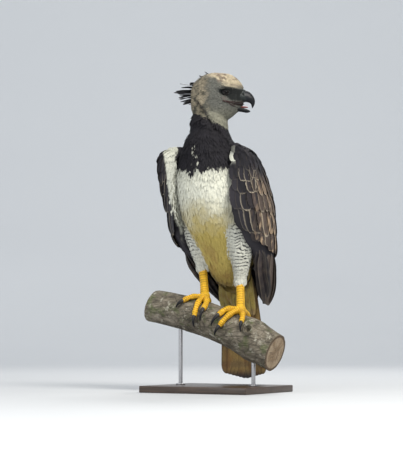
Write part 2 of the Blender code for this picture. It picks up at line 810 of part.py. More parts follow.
def finish_head(head, head_pose):
    """Adds lids and crest to the head, and cuts the seats of eyes and bill and the mouth line."""
    lids = [eyelid_ring(side, head_pose) for side in (1, -1)]
    combine(head, lids + crest_vanes(head_pose), "UNION", "MANIFOLD")
    cutters = [
        add_object(
            "upper_bill_cutter",
            loft(bill_rings(UPPER_BILL, CUT_MARGIN, 14, 0.22)),
            "bill_horn",
            head_pose,
        ),
        add_object(
            "lower_bill_cutter",
            loft(bill_rings(LOWER_BILL, CUT_MARGIN, 8, -0.10)),
            "bill_horn",
            head_pose,
        ),
        add_object("tongue_root", tongue_form(CUT_MARGIN), "tongue_flesh", head_pose),
    ]
    for side in (1, -1):
        centre = Vector((side * EYE_SIDE, 0, 0))
        cutters.append(
            ball(f"socket_{side}", EYE_RADIUS + GAP, centre, "eye_glass", head_pose, sides=14)
        )
        # The corner of the mouth opens below the eye and widens forward to the bill
        points = []
        for forward, up in MOUTH_LINE:
            reach = head_side(forward, up)
            points.append(Vector((side * reach, -forward, up)))
        line = smooth_line(points, 5)
        radii = [0.0013 + 0.0030 * (i / 5) for i in range(6)]
        cutters.append(add_object(f"mouth_line_{side}", tube(line, radii, 5), "bill_horn", head_pose))
    cut_with(head, *cutters)


def tongue_form(margin):
    points = [
        Vector((0, -0.030, -0.0408)),
        Vector((0, -0.040, -0.0398)),
        Vector((0, -0.050, -0.0390)),
        Vector((0, -0.058, -0.0400)),
        Vector((0, -0.063, -0.0420)),
    ]
    line = smooth_line(points, 6)
    line[0] += (line[0] - line[1]).normalized() * (2 * margin)
    line[-1] += (line[-1] - line[-2]).normalized() * (2 * margin)
    widths = [0.0032 + 0.0018 * math.sin(math.pi * (0.25 + 0.7 * i / 6)) for i in range(7)]
    bm = tube(line, [width + 2 * margin for width in widths], 8)
    for vert in bm.verts:
        vert.co.z = -0.0400 + (vert.co.z + 0.0400) * 0.55
    return bm


def build_bill(head_pose):
    upper = add_object(
        "bill_upper", loft(bill_rings(UPPER_BILL, 0, 14, 0.22)), "bill_horn", head_pose
    )
    lower = add_object(
        "bill_lower", loft(bill_rings(LOWER_BILL, 0, 8, -0.10)), "bill_horn", head_pose
    )
    nostrils = []
    for side in (1, -1):
        slot = ball(f"nostril_{side}", 0.0032, (0, 0, 0), "bill_horn", None, (1, 0.55, 1.25), 8)
        slot.parent = head_pose
        slot.location = (side * 0.0150, -0.0510, -0.0030)
        slot.rotation_euler = (math.radians(-28), 0, 0)
        nostrils.append(slot)
    cut_with(upper, *nostrils)
    # The tongue lies in the lower bill, in a trough of its own shape
    trough = add_object("trough", tongue_form(CUT_MARGIN), "tongue_flesh", head_pose)
    cut_with(lower, trough)
    add_object("tongue", tongue_form(0), "tongue_flesh", head_pose)


def build_eyes(head_pose):
    for side, word in ((1, "left"), (-1, "right")):
        ball(f"eye_{word}", EYE_RADIUS, (side * EYE_SIDE, 0, 0), "eye_glass", head_pose, sides=14)


# Toes of the left foot: name, steps (along the branch, round it in degrees), thickness at root and
# tip, claw length
TOES = (
    ("inner", ((0.000, 4), (-0.016, 15), (-0.030, 33), (-0.036, 54)), 0.0098, 0.0080, 0.050),
    ("middle", ((0.000, 6), (-0.005, 30), (-0.011, 56), (-0.018, 80)), 0.0090, 0.0072, 0.044),
    ("outer", ((0.000, 4), (0.016, 14), (0.030, 30), (0.040, 48)), 0.0088, 0.0070, 0.038),
    ("hind", ((0.000, -4), (0.004, -26), (0.007, -48), (0.009, -68)), 0.0098, 0.0080, 0.058),
)


TOE_RINGS = 9


def toe_line(side, steps, thick):
    centre = FOOT_ALONG * side
    points = []
    for along, degrees in steps:
        points.append(perch_point(centre + side * along, math.radians(degrees), thick * 0.90))
    return smooth_line(points, TOE_RINGS)


def build_claw(name, line, thick, length, bird, away):
    """A hooked claw that goes on from the end of a toe and turns in towards the bark."""
    start = line[-1]
    ahead = (line[-1] - line[-3]).normalized()
    bark = (away - away.dot(ahead) * ahead).normalized()
    steps = 6
    turn = math.radians(105)
    bend = length / turn
    points, radii = [], []
    for k in range(steps + 1):
        part = k / steps
        angle = turn * part - math.radians(26)
        points.append(
            start
            + ahead * (bend * (math.sin(angle) + math.sin(math.radians(26))))
            - bark * (bend * (math.cos(math.radians(26)) - math.cos(angle)))
        )
        radii.append(thick * 0.80 * (1 - part) ** 0.75 + 0.0006)
    return add_object(name, tube(points, radii, 6), "black_claw", bird)


def build_foot(side, bird):
    """Shank, toes and their scutes as one piece, and four claws."""
    word = "left" if side > 0 else "right"
    centre = FOOT_ALONG * side
    palm_at = perch_point(centre, 0, 0.012)
    top = Vector((side * 0.065, 0.028, SHANK_TOP[side] + 0.012))
    shank_line = smooth_line([top, top.lerp(palm_at, 0.5) + Vector((0, 0.002, 0)), palm_at], 11)
    radii = [0.0115 + 0.0022 * abs(2 * i / 11 - 1) ** 2 for i in range(12)]
    # Broad plates stand out down the front of the shank, and along the back of each toe
    shank = tube(shank_line, radii, 9, [Vector((0, -1, 0.2))] * 12, 0.0012)
    foot = add_object(f"foot_{word}", shank, "yellow_scute", bird)
    pieces = [ball("palm", 0.0155, palm_at, "yellow_scute", bird, sides=8)]
    claws = []
    heart = perch_point(centre, 0, -PERCH_RADIUS)
    for name, steps, thick, thin, length in TOES:
        line = toe_line(side, steps, thick)
        radii = [thick + (thin - thick) * i / TOE_RINGS for i in range(TOE_RINGS + 1)]
        ways = [(point - heart).normalized() for point in line]
        toe = tube(line, radii, 7, ways, 0.0013)
        pieces.append(add_object("toe", toe, "yellow_scute", bird))
        pieces.append(ball("toe_end", thin * 1.06, line[-1], "yellow_scute", bird, sides=8))
        along, degrees = steps[-1]
        under = perch_point(centre + side * along, math.radians(degrees), -PERCH_RADIUS)
        claws.append((name, line, thin, length, line[-1] - under))
    combine(foot, pieces, "UNION")
    perch = add_object("perch_cutter", loft(perch_rings(CUT_MARGIN)), "bark", bird)
    thigh = add_object("thigh_cutter", loft(thigh_rings(side, CUT_MARGIN)), "barred_down", bird)
    cut_with(foot, perch, thigh)
    for name, line, thin, length, away in claws:
        claw = build_claw(f"claw_{name}_{word}", line, thin, length, bird, away)
        reach = thin * 1.06 + CUT_MARGIN
        toe_end = ball("toe_end", reach, line[-1], "yellow_scute", bird, sides=8)
        perch = add_object("perch_cutter", loft(perch_rings(CUT_MARGIN)), "bark", bird)
        cut_with(claw, toe_end, perch)
    return foot


def build_thigh(side, bird):
    word = "left" if side > 0 else "right"
    thigh = add_object(f"thigh_{word}", loft(thigh_rings(side, 0)), "barred_down", bird)
    trunk = add_object("trunk_cutter", loft(trunk_rings(CUT_MARGIN)), "black_down", bird)
    return cut_with(thigh, trunk)


def build_perch(bird):
    perch = add_object("perch", loft(perch_rings(0)), "bark", bird)
    # The scar of a lost twig: a raised collar with a hollow heart
    seat = perch_point(KNOT_ALONG, KNOT_ROUND, -0.010)
    crown = perch_point(KNOT_ALONG, KNOT_ROUND, 0.007)
    collar = add_object(
        "collar", tube([seat, seat.lerp(crown, 0.6), crown], [0.020, 0.0165, 0.0130], 10), "bark", bird
    )
    combine(perch, [collar], "UNION")
    hollow = ball("hollow", 0.0085, crown, "bark", bird, sides=8)
    return cut_with(perch, hollow)


def build_stand(bird):
    bm = bmesh.new()
    bmesh.ops.create_cube(bm, size=1.0)
    bmesh.ops.scale(bm, vec=BASE_SIZE, verts=bm.verts)
    bmesh.ops.translate(bm, vec=(0, 0, BASE_SIZE[2] / 2), verts=bm.verts)
    upright = [
        edge for edge in bm.edges if abs(edge.verts[0].co.z - edge.verts[1].co.z) > BASE_SIZE[2] / 2
    ]
    bmesh.ops.bevel(
        bm, geom=upright, offset=BASE_CORNER, segments=4, profile=0.5, affect="EDGES"
    )
    upper = [
        edge for edge in bm.edges if all(vert.co.z > BASE_SIZE[2] * 0.9 for vert in edge.verts)
    ]
    bmesh.ops.bevel(bm, geom=upper, offset=0.003, segments=1, profile=0.5, affect="EDGES")
    add_object("stand_base", bm, "stand_board")
    for word, x in zip(("left", "right"), sorted(ROD_AT, reverse=True)):
        bottom = BASE_SIZE[2] + GAP
        reach = FOOT_LEVEL - 0.05 - bottom
        bm = bmesh.new()
        bmesh.ops.create_cone(
            bm, cap_ends=True, segments=20, radius1=ROD_RADIUS, radius2=ROD_RADIUS, depth=reach
        )
        bmesh.ops.translate(bm, vec=(x, 0, bottom + reach / 2), verts=bm.verts)
        rod = add_object(f"stand_rod_{word}", bm, "stand_steel")
        perch = add_object("perch_cutter", loft(perch_rings(CUT_MARGIN)), "bark", bird)
        cut_with(rod, perch)


def build():
    clear_scene()
    collection = bpy.data.collections.new("harpy_eagle")
    bpy.context.scene.collection.children.link(collection)
    bird = add_empty("bird", (0, 0, FOOT_LEVEL))
    head_pose = add_empty("head_pose", HEAD_AT, HEAD_TURN, bird)
    head, _, _ = build_flesh(bird, head_pose)
    finish_head(head, head_pose)
    build_bill(head_pose)
    build_eyes(head_pose)
    for side in (1, -1):
        build_wing(side, bird)
        build_thigh(side, bird)
        build_foot(side, bird)
    build_tail(bird)
    build_perch(bird)
    build_stand(bird)


build()
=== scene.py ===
"""Still, life-size museum model of a harpy eagle on a cut branch: its visual model."""
import json
import logging
import math
from dataclasses import dataclass, field
from enum import Enum
from typing import Callable, Iterable, Sequence

import bmesh
import bpy
import numpy as np
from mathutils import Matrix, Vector
from mathutils.kdtree import KDTree

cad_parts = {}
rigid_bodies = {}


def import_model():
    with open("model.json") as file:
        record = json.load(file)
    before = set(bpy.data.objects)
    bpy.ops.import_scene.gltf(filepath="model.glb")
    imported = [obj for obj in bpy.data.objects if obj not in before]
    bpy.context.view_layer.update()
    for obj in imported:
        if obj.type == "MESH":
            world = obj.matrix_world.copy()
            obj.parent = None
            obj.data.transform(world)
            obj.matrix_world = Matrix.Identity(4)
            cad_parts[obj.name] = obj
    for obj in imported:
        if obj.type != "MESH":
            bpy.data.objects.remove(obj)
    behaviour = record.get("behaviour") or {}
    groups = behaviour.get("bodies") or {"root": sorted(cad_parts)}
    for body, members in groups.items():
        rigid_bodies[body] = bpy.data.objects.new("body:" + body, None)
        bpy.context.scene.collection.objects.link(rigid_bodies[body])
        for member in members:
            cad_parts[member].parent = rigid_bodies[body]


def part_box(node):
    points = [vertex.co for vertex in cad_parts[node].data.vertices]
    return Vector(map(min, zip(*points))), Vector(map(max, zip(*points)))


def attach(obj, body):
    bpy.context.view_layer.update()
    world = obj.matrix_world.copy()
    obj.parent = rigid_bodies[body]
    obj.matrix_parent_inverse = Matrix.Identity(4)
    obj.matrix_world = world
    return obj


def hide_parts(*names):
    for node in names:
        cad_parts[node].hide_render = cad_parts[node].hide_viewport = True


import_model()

LOG = logging.getLogger("eagle")

FOOT_LEVEL = 0.272
HEAD_AT = np.array((0.049, -0.021, 0.618))
HEAD_TURN = math.radians(110.0)
EYE_SIDE = 0.0342
EYE_RADIUS = 0.0115
# How square the rings of head and trunk are; 2 is an ellipse
HEAD_SQUARE = 2.4
TRUNK_SQUARE = 2.15
# Degrees from the bird's front round to the camera, towards its left
PHOTO_AZIMUTH = 30.0

# Neck and trunk: height, middle in y, half width, depth to the front, depth to the back
TRUNK_ROWS = (
    (0.575, -0.036, 0.050, 0.050, 0.050),
    (0.545, -0.039, 0.060, 0.062, 0.060),
    (0.510, -0.040, 0.062, 0.064, 0.062),
    (0.480, -0.042, 0.074, 0.076, 0.070),
    (0.450, -0.032, 0.090, 0.094, 0.086),
    (0.415, -0.022, 0.106, 0.104, 0.104),
    (0.384, -0.015, 0.114, 0.110, 0.120),
    (0.345, -0.010, 0.118, 0.114, 0.135),
    (0.300, -0.002, 0.120, 0.112, 0.144),
    (0.250, 0.010, 0.116, 0.102, 0.144),
    (0.200, 0.026, 0.106, 0.088, 0.130),
    (0.150, 0.046, 0.090, 0.072, 0.108),
    (0.105, 0.068, 0.072, 0.062, 0.084),
    (0.070, 0.086, 0.054, 0.048, 0.062),
    (0.048, 0.098, 0.030, 0.028, 0.036),
)
# Head: distance in front of the eyes, top, bottom, half width
HEAD_ROWS = (
    (-0.107, 0.010, -0.040, 0.020),
    (-0.101, 0.034, -0.062, 0.039),
    (-0.085, 0.052, -0.078, 0.052),
    (-0.060, 0.065, -0.086, 0.059),
    (-0.035, 0.069, -0.088, 0.058),
    (-0.012, 0.067, -0.084, 0.051),
    (0.008, 0.063, -0.074, 0.042),
    (0.024, 0.053, -0.060, 0.034),
    (0.036, 0.041, -0.050, 0.027),
    (0.045, 0.028, -0.040, 0.021),
    (0.050, 0.016, -0.028, 0.015),
)
# Thigh: height above the top of the bare shank, centre x, y, half width, half depth
THIGH_ROWS = (
    (0.200, 0.078, 0.000, 0.036, 0.046),
    (0.150, 0.080, 0.004, 0.038, 0.050),
    (0.100, 0.078, 0.012, 0.036, 0.046),
    (0.060, 0.073, 0.020, 0.031, 0.038),
    (0.028, 0.068, 0.026, 0.0255, 0.030),
    (0.006, 0.065, 0.028, 0.0195, 0.022),
    (-0.004, 0.065, 0.028, 0.0125, 0.0145),
)
SHANK_TOP = {1: 0.050, -1: 0.094}
# Folded wing, as the outer line of its feathers: height, then front edge, outermost line, rear
# corner and rear edge, each as x, y
WING_ROWS = (
    (0.466, 0.092, -0.064, 0.106, -0.068, 0.104, -0.050, 0.088, -0.040),
    (0.455, 0.090, -0.070, 0.128, -0.080, 0.117, -0.030, 0.082, -0.006),
    (0.430, 0.095, -0.080, 0.152, -0.082, 0.132, 0.004, 0.084, 0.050),
    (0.400, 0.100, -0.088, 0.160, -0.072, 0.137, 0.036, 0.080, 0.094),
    (0.345, 0.103, -0.090, 0.160, -0.055, 0.143, 0.068, 0.068, 0.128),
    (0.282, 0.105, -0.087, 0.158, -0.030, 0.147, 0.092, 0.050, 0.156),
    (0.199, 0.112, -0.048, 0.152, 0.002, 0.142, 0.113, 0.026, 0.178),
    (0.142, 0.107, 0.026, 0.137, 0.045, 0.134, 0.126, 0.016, 0.192),
    (0.092, 0.096, 0.082, 0.118, 0.080, 0.120, 0.148, 0.018, 0.202),
    (0.035, 0.080, 0.134, 0.094, 0.138, 0.099, 0.178, 0.036, 0.212),
    (-0.010, 0.064, 0.176, 0.072, 0.180, 0.073, 0.198, 0.052, 0.208),
)
# How far the wing's inner face goes from the outer line towards the line between its edges
WING_DEPTH = (
    (0.466, 1.0),
    (0.345, 1.0),
    (0.282, 0.95),
    (0.199, 0.80),
    (0.142, 0.45),
    (0.092, 0.28),
    (0.035, 0.30),
    (-0.010, 0.60),
)
# Pale band along the right wing's front: height, then its two edges across the camera's view
BAND_ROWS = (
    (0.192, -0.1050, -0.1050),
    (0.222, -0.1120, -0.1035),
    (0.252, -0.1260, -0.1080),
    (0.296, -0.1385, -0.1155),
    (0.348, -0.1470, -0.1200),
    (0.404, -0.1530, -0.1260),
    (0.452, -0.1610, -0.1230),
    (0.470, -0.1580, -0.1200),
)
TAIL_ROOT = np.array((0.0, 0.126, 0.125))
TAIL_TIP = np.array((0.0, 0.182, -0.236))

# Bill: ridge (forward, up), cutting edge (forward, up), half width
UPPER_BILL = (
    (0.030, 0.020, 0.022, -0.030, 0.0215),
    (0.046, 0.0165, 0.036, -0.029, 0.0195),
    (0.057, 0.0105, 0.047, -0.026, 0.0165),
    (0.0655, 0.0075, 0.0565, -0.0245, 0.0135),
    (0.0745, -0.001, 0.064, -0.026, 0.0108),
    (0.0815, -0.0115, 0.0695, -0.0285, 0.0082),
    (0.0843, -0.0225, 0.0728, -0.033, 0.0060),
    (0.0822, -0.0340, 0.0742, -0.0385, 0.0038),
    (0.0772, -0.0430, 0.0752, -0.0440, 0.0012),
)
LOWER_BILL = (
    (0.016, -0.036, 0.014, -0.052, 0.0165),
    (0.032, -0.0395, 0.031, -0.0525, 0.0145),
    (0.046, -0.0405, 0.046, -0.0545, 0.0120),
    (0.058, -0.0430, 0.058, -0.0570, 0.0088),
    (0.066, -0.0475, 0.0655, -0.0560, 0.0052),
    (0.0700, -0.0510, 0.0697, -0.0535, 0.0016),
)

# Branch under the feet
PERCH_RADIUS = 0.054
PERCH_DROP = math.radians(19.0)
PERCH_TOP = -0.009
PERCH_ENDS = (-0.225, 0.215)
KNOT_ALONG = 0.135
KNOT_ROUND = math.radians(58.0)
PERCH_AXIS = np.array((math.cos(PERCH_DROP), 0.0, -math.sin(PERCH_DROP)))
PERCH_UP = np.array((math.sin(PERCH_DROP), 0.0, math.cos(PERCH_DROP)))
PERCH_HEART = np.array((0.0, 0.0, PERCH_TOP - PERCH_RADIUS / math.cos(PERCH_DROP)))
FOOT_ALONG = 0.0645
# Toes of the left foot: steps (along the branch, round it in degrees), thickness at root and tip
TOES = {
    "inner": (((0.000, 4), (-0.016, 15), (-0.030, 33), (-0.036, 54)), 0.0098, 0.0080),
    "middle": (((0.000, 6), (-0.005, 30), (-0.011, 56), (-0.018, 80)), 0.0090, 0.0072),
    "outer": (((0.000, 4), (0.016, 14), (0.030, 30), (0.040, 48)), 0.0088, 0.0070),
    "hind": (((0.000, -4), (0.004, -26), (0.007, -48), (0.009, -68)), 0.0098, 0.0080),
}

Array = np.ndarray
Random = np.random.Generator
Piece = bpy.types.Object
Socket = bpy.types.NodeSocket


class Side(Enum):
    """The bird's two sides, as the sign of x."""

    LEFT = 1
    RIGHT = -1

    @property
    def word(self) -> str:
        """Name of the side in the nodes' names."""
        return self.name.lower()


def spread(rows: Sequence[Sequence[float]], at: Array | float) -> Array:
    """Sizes at each place of the first column, on a smooth curve through the rows.

    Args:
        rows: Rows whose first column is the place and whose other columns are sizes.
        at: Places to read, one or many.

    Returns:
        One row of sizes for each place.
    """
    table = np.array(sorted(rows, key=lambda row: row[0]), dtype=float)
    key, value = table[:, 0], table[:, 1:]
    at = np.clip(np.atleast_1d(np.asarray(at, dtype=float)), key[0], key[-1])
    k = np.clip(np.searchsorted(key, at, side="right") - 1, 0, len(key) - 2)
    before, after = np.maximum(k - 1, 0), np.minimum(k + 2, len(key) - 1)
    step = key[k + 1] - key[k]
    s = ((at - key[k]) / step)[:, None]
    low_slope = (value[k + 1] - value[before]) * (step / (key[k + 1] - key[before]))[:, None]
    high_slope = (value[after] - value[k]) * (step / (key[after] - key[k]))[:, None]
    return (
        (2 * s**3 - 3 * s**2 + 1) * value[k]
        + (s**3 - 2 * s**2 + s) * low_slope
        + (3 * s**2 - 2 * s**3) * value[k + 1]
        + (s**3 - s**2) * high_slope
    )


def bird(points: Array) -> Array:
    """Places measured from the level of the feet, moved to the model's frame."""
    return np.asarray(points, dtype=float) + np.array((0.0, 0.0, FOOT_LEVEL))


def turned(points: Array, angle: float) -> Array:
    """Places turned round the upright axis.

    Args:
        points: Places or directions.
        angle: Angle in radians.

    Returns:
        The turned ones.
    """
    c, s = math.cos(angle), math.sin(angle)
    x, y = points[..., 0], points[..., 1]
    return np.stack((c * x - s * y, s * x + c * y, points[..., 2]), axis=-1)


def from_head(points: Array) -> Array:
    """Places in the head's frame (side, behind the eyes, up), moved to the feet's frame."""
    return turned(np.asarray(points, dtype=float), HEAD_TURN) + HEAD_AT


def to_head(points: Array) -> Array:
    """Places in the feet's frame, moved to the head's frame (side, behind the eyes, up)."""
    return turned(np.asarray(points, dtype=float) - HEAD_AT, -HEAD_TURN)


def unit(vectors: Array) -> Array:
    """The same directions with length one."""
    return vectors / np.maximum(np.linalg.norm(vectors, axis=-1, keepdims=True), 1e-9)


def smooth_step(low: float, high: float, value: Array | float) -> Array:
    """Zero below low, one above high and a smooth rise between them."""
    s = np.clip((np.asarray(value, dtype=float) - low) / (high - low), 0.0, 1.0)
    return s * s * (3 - 2 * s)


def grain(points: Array, size: float, seed: int) -> Array:
    """Smooth noise from -1 to 1 over places, with lumps of about one size.

    Args:
        points: Places, one in each row.
        size: Size of the lumps in metres.
        seed: Number that picks the pattern.

    Returns:
        One value for each place.
    """
    at = np.asarray(points, dtype=float) / size + seed * 17.31
    base = np.floor(at).astype(np.int64)
    part = at - base
    part = part * part * (3 - 2 * part)
    total = np.zeros(len(at))
    for corner in range(8):
        step = np.array([(corner >> axis) & 1 for axis in range(3)])
        cell = base + step
        mixed = (cell[:, 0] * 73856093) ^ (cell[:, 1] * 19349663) ^ (cell[:, 2] * 83492791) ^ (seed * 2654435)
        mixed = (mixed ^ (mixed >> 13)) * 1274126177 & 0xFFFFFFFF
        value = ((mixed ^ (mixed >> 16)) & 0xFFFF) / 32767.5 - 1.0
        weight = np.prod(np.where(step == 1, part, 1 - part), axis=1)
        total += value * weight
    return total


def between(p0: Array, p1: Array, p2: Array, p3: Array, s: Array) -> Array:
    """Places between the second and third of four points, on the smooth curve through all of them.

    Args:
        p0: The point before.
        p1: The point at 0.
        p2: The point at 1.
        p3: The point after.
        s: Share of the way from the second to the third.

    Returns:
        The places.
    """
    return 0.5 * (
        2 * p1
        + (p2 - p0) * s
        + (2 * p0 - 5 * p1 + 4 * p2 - p3) * s**2
        + (3 * p1 - p0 - 3 * p2 + p3) * s**3
    )


def squared_ring(count: int, square: float) -> tuple[Array, Array]:
    """Both parts of the points of a rounded ring, fuller at its corners than a circle.

    Args:
        count: Points in the ring.
        square: How square it is; 2 is a circle.

    Returns:
        Shares of the half width and of the half height at each point.
    """
    angle = np.linspace(0, 2 * math.pi, count, endpoint=False)
    c, s = np.cos(angle), np.sin(angle)
    return np.sign(c) * np.abs(c) ** (2 / square), np.sign(s) * np.abs(s) ** (2 / square)


def smooth_line(points: Array, steps: int) -> Array:
    """More points on a smooth curve through the given ones, evenly spaced in their order.

    Args:
        points: Points of the coarse line.
        steps: Steps of the fine line.

    Returns:
        Points of the fine line, one more than its steps.
    """
    points = np.asarray(points, dtype=float)
    last = len(points) - 1
    at = np.linspace(0.0, last, steps + 1)
    k = np.minimum(at.astype(int), last - 1)
    s = (at - k)[:, None]
    p0, p1 = points[np.maximum(k - 1, 0)], points[k]
    p2, p3 = points[k + 1], points[np.minimum(k + 2, last)]
    return between(p0, p1, p2, p3, s)


def brow(forward: Array, up: Array, side: Array) -> Array:
    """How far the face stands out or sinks at a place of the head, above or round the eye.

    Args:
        forward: Places in front of the eyes.
        up: Places above the eyes.
        side: Which side, and how squarely the skin faces it, from -1 to 1.

    Returns:
        Distances to move the skin sideways.
    """
    ridge = np.exp(-(((forward - 0.006) / 0.019) ** 2) - ((up - 0.0120 + 0.12 * forward) / 0.0052) ** 2)
    hollow = np.exp(-(((forward - 0.006) / 0.016) ** 2) - ((up + 0.001) / 0.010) ** 2)
    lore = np.exp(-(((forward - 0.030) / 0.014) ** 2) - ((up + 0.004) / 0.012) ** 2)
    return side * (0.0098 * ridge - 0.0050 * hollow - 0.003 * lore)


def perch_sag(along: Array) -> Array:
    """How far the branch bends down along its length."""
    return 0.020 * (along / 0.22) ** 2


def perch_point(along: Array | float, turn: Array | float, rise: Array | float) -> Array:
    """A place over the branch: along it, round from its top to the front, and above its bark.

    Args:
        along: Distances along the branch from its middle.
        turn: Angles round it from its top to the front.
        rise: Heights over its bark.

    Returns:
        Places measured from the level of the feet.
    """
    along, turn, rise = np.broadcast_arrays(*(np.asarray(v, dtype=float) for v in (along, turn, rise)))
    swell = 0.007 * np.exp(-(((along - KNOT_ALONG) / 0.040) ** 2))
    reach = PERCH_RADIUS + 0.010 * along + swell + rise
    out = PERCH_UP * np.cos(turn)[..., None] - np.array((0.0, 1.0, 0.0)) * np.sin(turn)[..., None]
    middle = PERCH_HEART + PERCH_AXIS * along[..., None] - PERCH_UP * perch_sag(along)[..., None]
    return middle + out * reach[..., None]


def wing_point(share: Array | float, height: Array | float, side: int) -> Array:
    """A place on the folded wing's outer line, from the front edge at 0 round to the rear at 1.

    Args:
        share: Places round the line.
        height: Heights.
        side: Sign of x.

    Returns:
        Places measured from the level of the feet.
    """
    share, height = np.broadcast_arrays(np.asarray(share, dtype=float), np.asarray(height, dtype=float))
    shape = share.shape
    share, height = np.clip(share.ravel(), 0, 1), height.ravel()
    corners = spread(WING_ROWS, height).reshape(-1, 4, 2)
    at = share * 3
    k = np.minimum(at.astype(int), 2)
    s = (at - k)[:, None]
    row = np.arange(len(k))
    p1, p2 = corners[row, k], corners[row, k + 1]
    p0 = np.where((k > 0)[:, None], corners[row, np.maximum(k - 1, 0)], p1 * 2 - p2)
    p3 = np.where((k < 2)[:, None], corners[row, np.minimum(k + 2, 3)], p2 * 2 - p1)
    flat = between(p0, p1, p2, p3, s)
    return np.stack((side * flat[:, 0], flat[:, 1], height), axis=-1).reshape(*shape, 3)


def wing_frame(share: Array | float, height: Array | float, side: int) -> tuple[Array, Array]:
    """Outward and rearward directions of the wing's outer line at a place.

    Args:
        share: Places round the line.
        height: Heights.
        side: Sign of x.

    Returns:
        Both directions, with length one.
    """
    rear = wing_point(share + 0.02, height, side) - wing_point(share - 0.02, height, side)
    down = wing_point(share, height - 0.008, side) - wing_point(share, height + 0.008, side)
    rear = unit(rear)
    return unit(np.cross(down, rear) * side), rear


def clear_selection() -> None:
    """Leaves nothing selected, so that an operator touches only what is picked next."""
    if bpy.context.object and bpy.context.object.mode != "OBJECT":
        bpy.ops.object.mode_set(mode="OBJECT")
    bpy.ops.object.select_all(action="DESELECT")


def pick(obj: Piece) -> None:
    """Selects one object alone and makes it active.

    Args:
        obj: The object.
    """
    clear_selection()
    obj.select_set(True)
    bpy.context.view_layer.objects.active = obj


def settle(obj: Piece) -> Piece:
    """Moves an object's place, turn and size into its mesh, so that it sits at the origin.

    Args:
        obj: The object.

    Returns:
        The same object.
    """
    pick(obj)
    bpy.ops.object.transform_apply(location=True, rotation=True, scale=True)
    return obj


def apply_modifier(obj: Piece, kind: str, **settings: object) -> None:
    """Adds one modifier with its settings and applies it at once.

    Args:
        obj: The object.
        kind: Kind of modifier.
        settings: Its settings by name.
    """
    pick(obj)
    modifier = obj.modifiers.new(kind.title(), kind)
    for key, value in settings.items():
        setattr(modifier, key, value)
    bpy.ops.object.modifier_apply(modifier=modifier.name)


def smooth_shaded(obj: Piece, degrees: float = 60.0) -> Piece:
    """Shades an object smooth, apart from edges sharper than an angle.

    Args:
        obj: The object.
        degrees: Angle above which an edge stays sharp.

    Returns:
        The same object.
    """
    pick(obj)
    bpy.ops.object.shade_smooth_by_angle(angle=math.radians(degrees))
    return obj


def face_outwards(obj: Piece) -> None:
    """Merges a mesh's doubles and turns all its faces outwards.

    Args:
        obj: The object.
    """
    pick(obj)
    bpy.ops.object.mode_set(mode="EDIT")
    bpy.ops.mesh.select_all(action="SELECT")
    bpy.ops.mesh.remove_doubles(threshold=1e-5)
    bpy.ops.mesh.normals_make_consistent(inside=False)
    bpy.ops.object.mode_set(mode="OBJECT")


def wrapped_grid(name: str, rings: Array, levels: int = 1) -> Piece:
    """A grid rolled up into a tube over rings of points, closed at its seam and ends.

    Args:
        name: Name of the new object.
        rings: Places of the rings' points, as ring, point and axis.
        levels: Times that the tube is subdivided smooth.

    Returns:
        The new object.
    """
    stations, count = rings.shape[:2]
    clear_selection()
    bpy.ops.mesh.primitive_grid_add(x_subdivisions=count, y_subdivisions=stations - 1, size=1.0)
    obj = bpy.context.object
    obj.name = obj.data.name = name
    rolled = np.concatenate((rings, rings[:, :1]), axis=1)
    obj.data.vertices.foreach_set("co", rolled.reshape(-1, 3).astype(np.float32).ravel())
    obj.data.update()
    bpy.ops.object.mode_set(mode="EDIT")
    bpy.ops.mesh.select_all(action="SELECT")
    bpy.ops.mesh.remove_doubles(threshold=1e-6)
    bpy.ops.mesh.select_all(action="DESELECT")
    bpy.ops.mesh.select_mode(type="EDGE")
    bpy.ops.mesh.select_non_manifold(extend=False)
    bpy.ops.mesh.edge_face_add()
    bpy.ops.mesh.select_mode(type="VERT")
    bpy.ops.mesh.select_all(action="SELECT")
    bpy.ops.mesh.normals_make_consistent(inside=False)
    bpy.ops.object.mode_set(mode="OBJECT")
    if levels:
        apply_modifier(obj, "SUBSURF", levels=levels, render_levels=levels)
    return obj


def tube_rings(line: Array, radii: Array, count: int) -> Array:
    """Rings of points round a line, turned as little as possible from one to the next.

    Args:
        line: Places along the line.
        radii: Radius at each place.
        count: Points in a ring.

    Returns:
        The rings' points, as ring, point and axis.
    """
    line = np.asarray(line, dtype=float)
    radii = np.broadcast_to(np.asarray(radii, dtype=float), len(line))
    ahead = unit(np.gradient(line, axis=0))
    side = unit(np.cross(ahead[0], (0.31, 0.17, 0.94)))
    angle = np.linspace(0, 2 * math.pi, count, endpoint=False)
    rings = []
    for k, point in enumerate(line):
        side = unit(side - ahead[k] * np.dot(side, ahead[k]))
        other = np.cross(ahead[k], side)
        spokes = side * np.cos(angle)[:, None] + other * np.sin(angle)[:, None]
        rings.append(point + spokes * radii[k])
    return np.array(rings)


def joined(name: str, parts: Iterable[Piece]) -> Piece:
    """Joins several objects into one with this name.

    Args:
        name: Name of the new object.
        parts: Objects to join.

    Returns:
        The joined object.
    """
    parts = list(parts)
    clear_selection()
    for part in parts:
        part.select_set(True)
    bpy.context.view_layer.objects.active = parts[0]
    if len(parts) > 1:
        bpy.ops.object.join()
    parts[0].name = parts[0].data.name = name
    return parts[0]


def read_vectors(items: bpy.types.bpy_prop_collection, key: str) -> Array:
    """Vectors of a mesh's parts, one in each row.

    Args:
        items: The parts.
        key: Name of their vector.

    Returns:
        The vectors.
    """
    out = np.empty(len(items) * 3, dtype=np.float32)
    items.foreach_get(key, out)
    return out.reshape(-1, 3).astype(float)


def coords(mesh: bpy.types.Mesh) -> Array:
    """Places of a mesh's vertices, one in each row."""
    return read_vectors(mesh.vertices, "co")


def foot_places(obj: Piece) -> Array:
    """Places of an object's vertices, measured from the level of the feet."""
    return coords(obj.data) - np.array((0.0, 0.0, FOOT_LEVEL))


def head_places(obj: Piece) -> Array:
    """Places of an object's vertices in the head's frame."""
    return to_head(foot_places(obj))


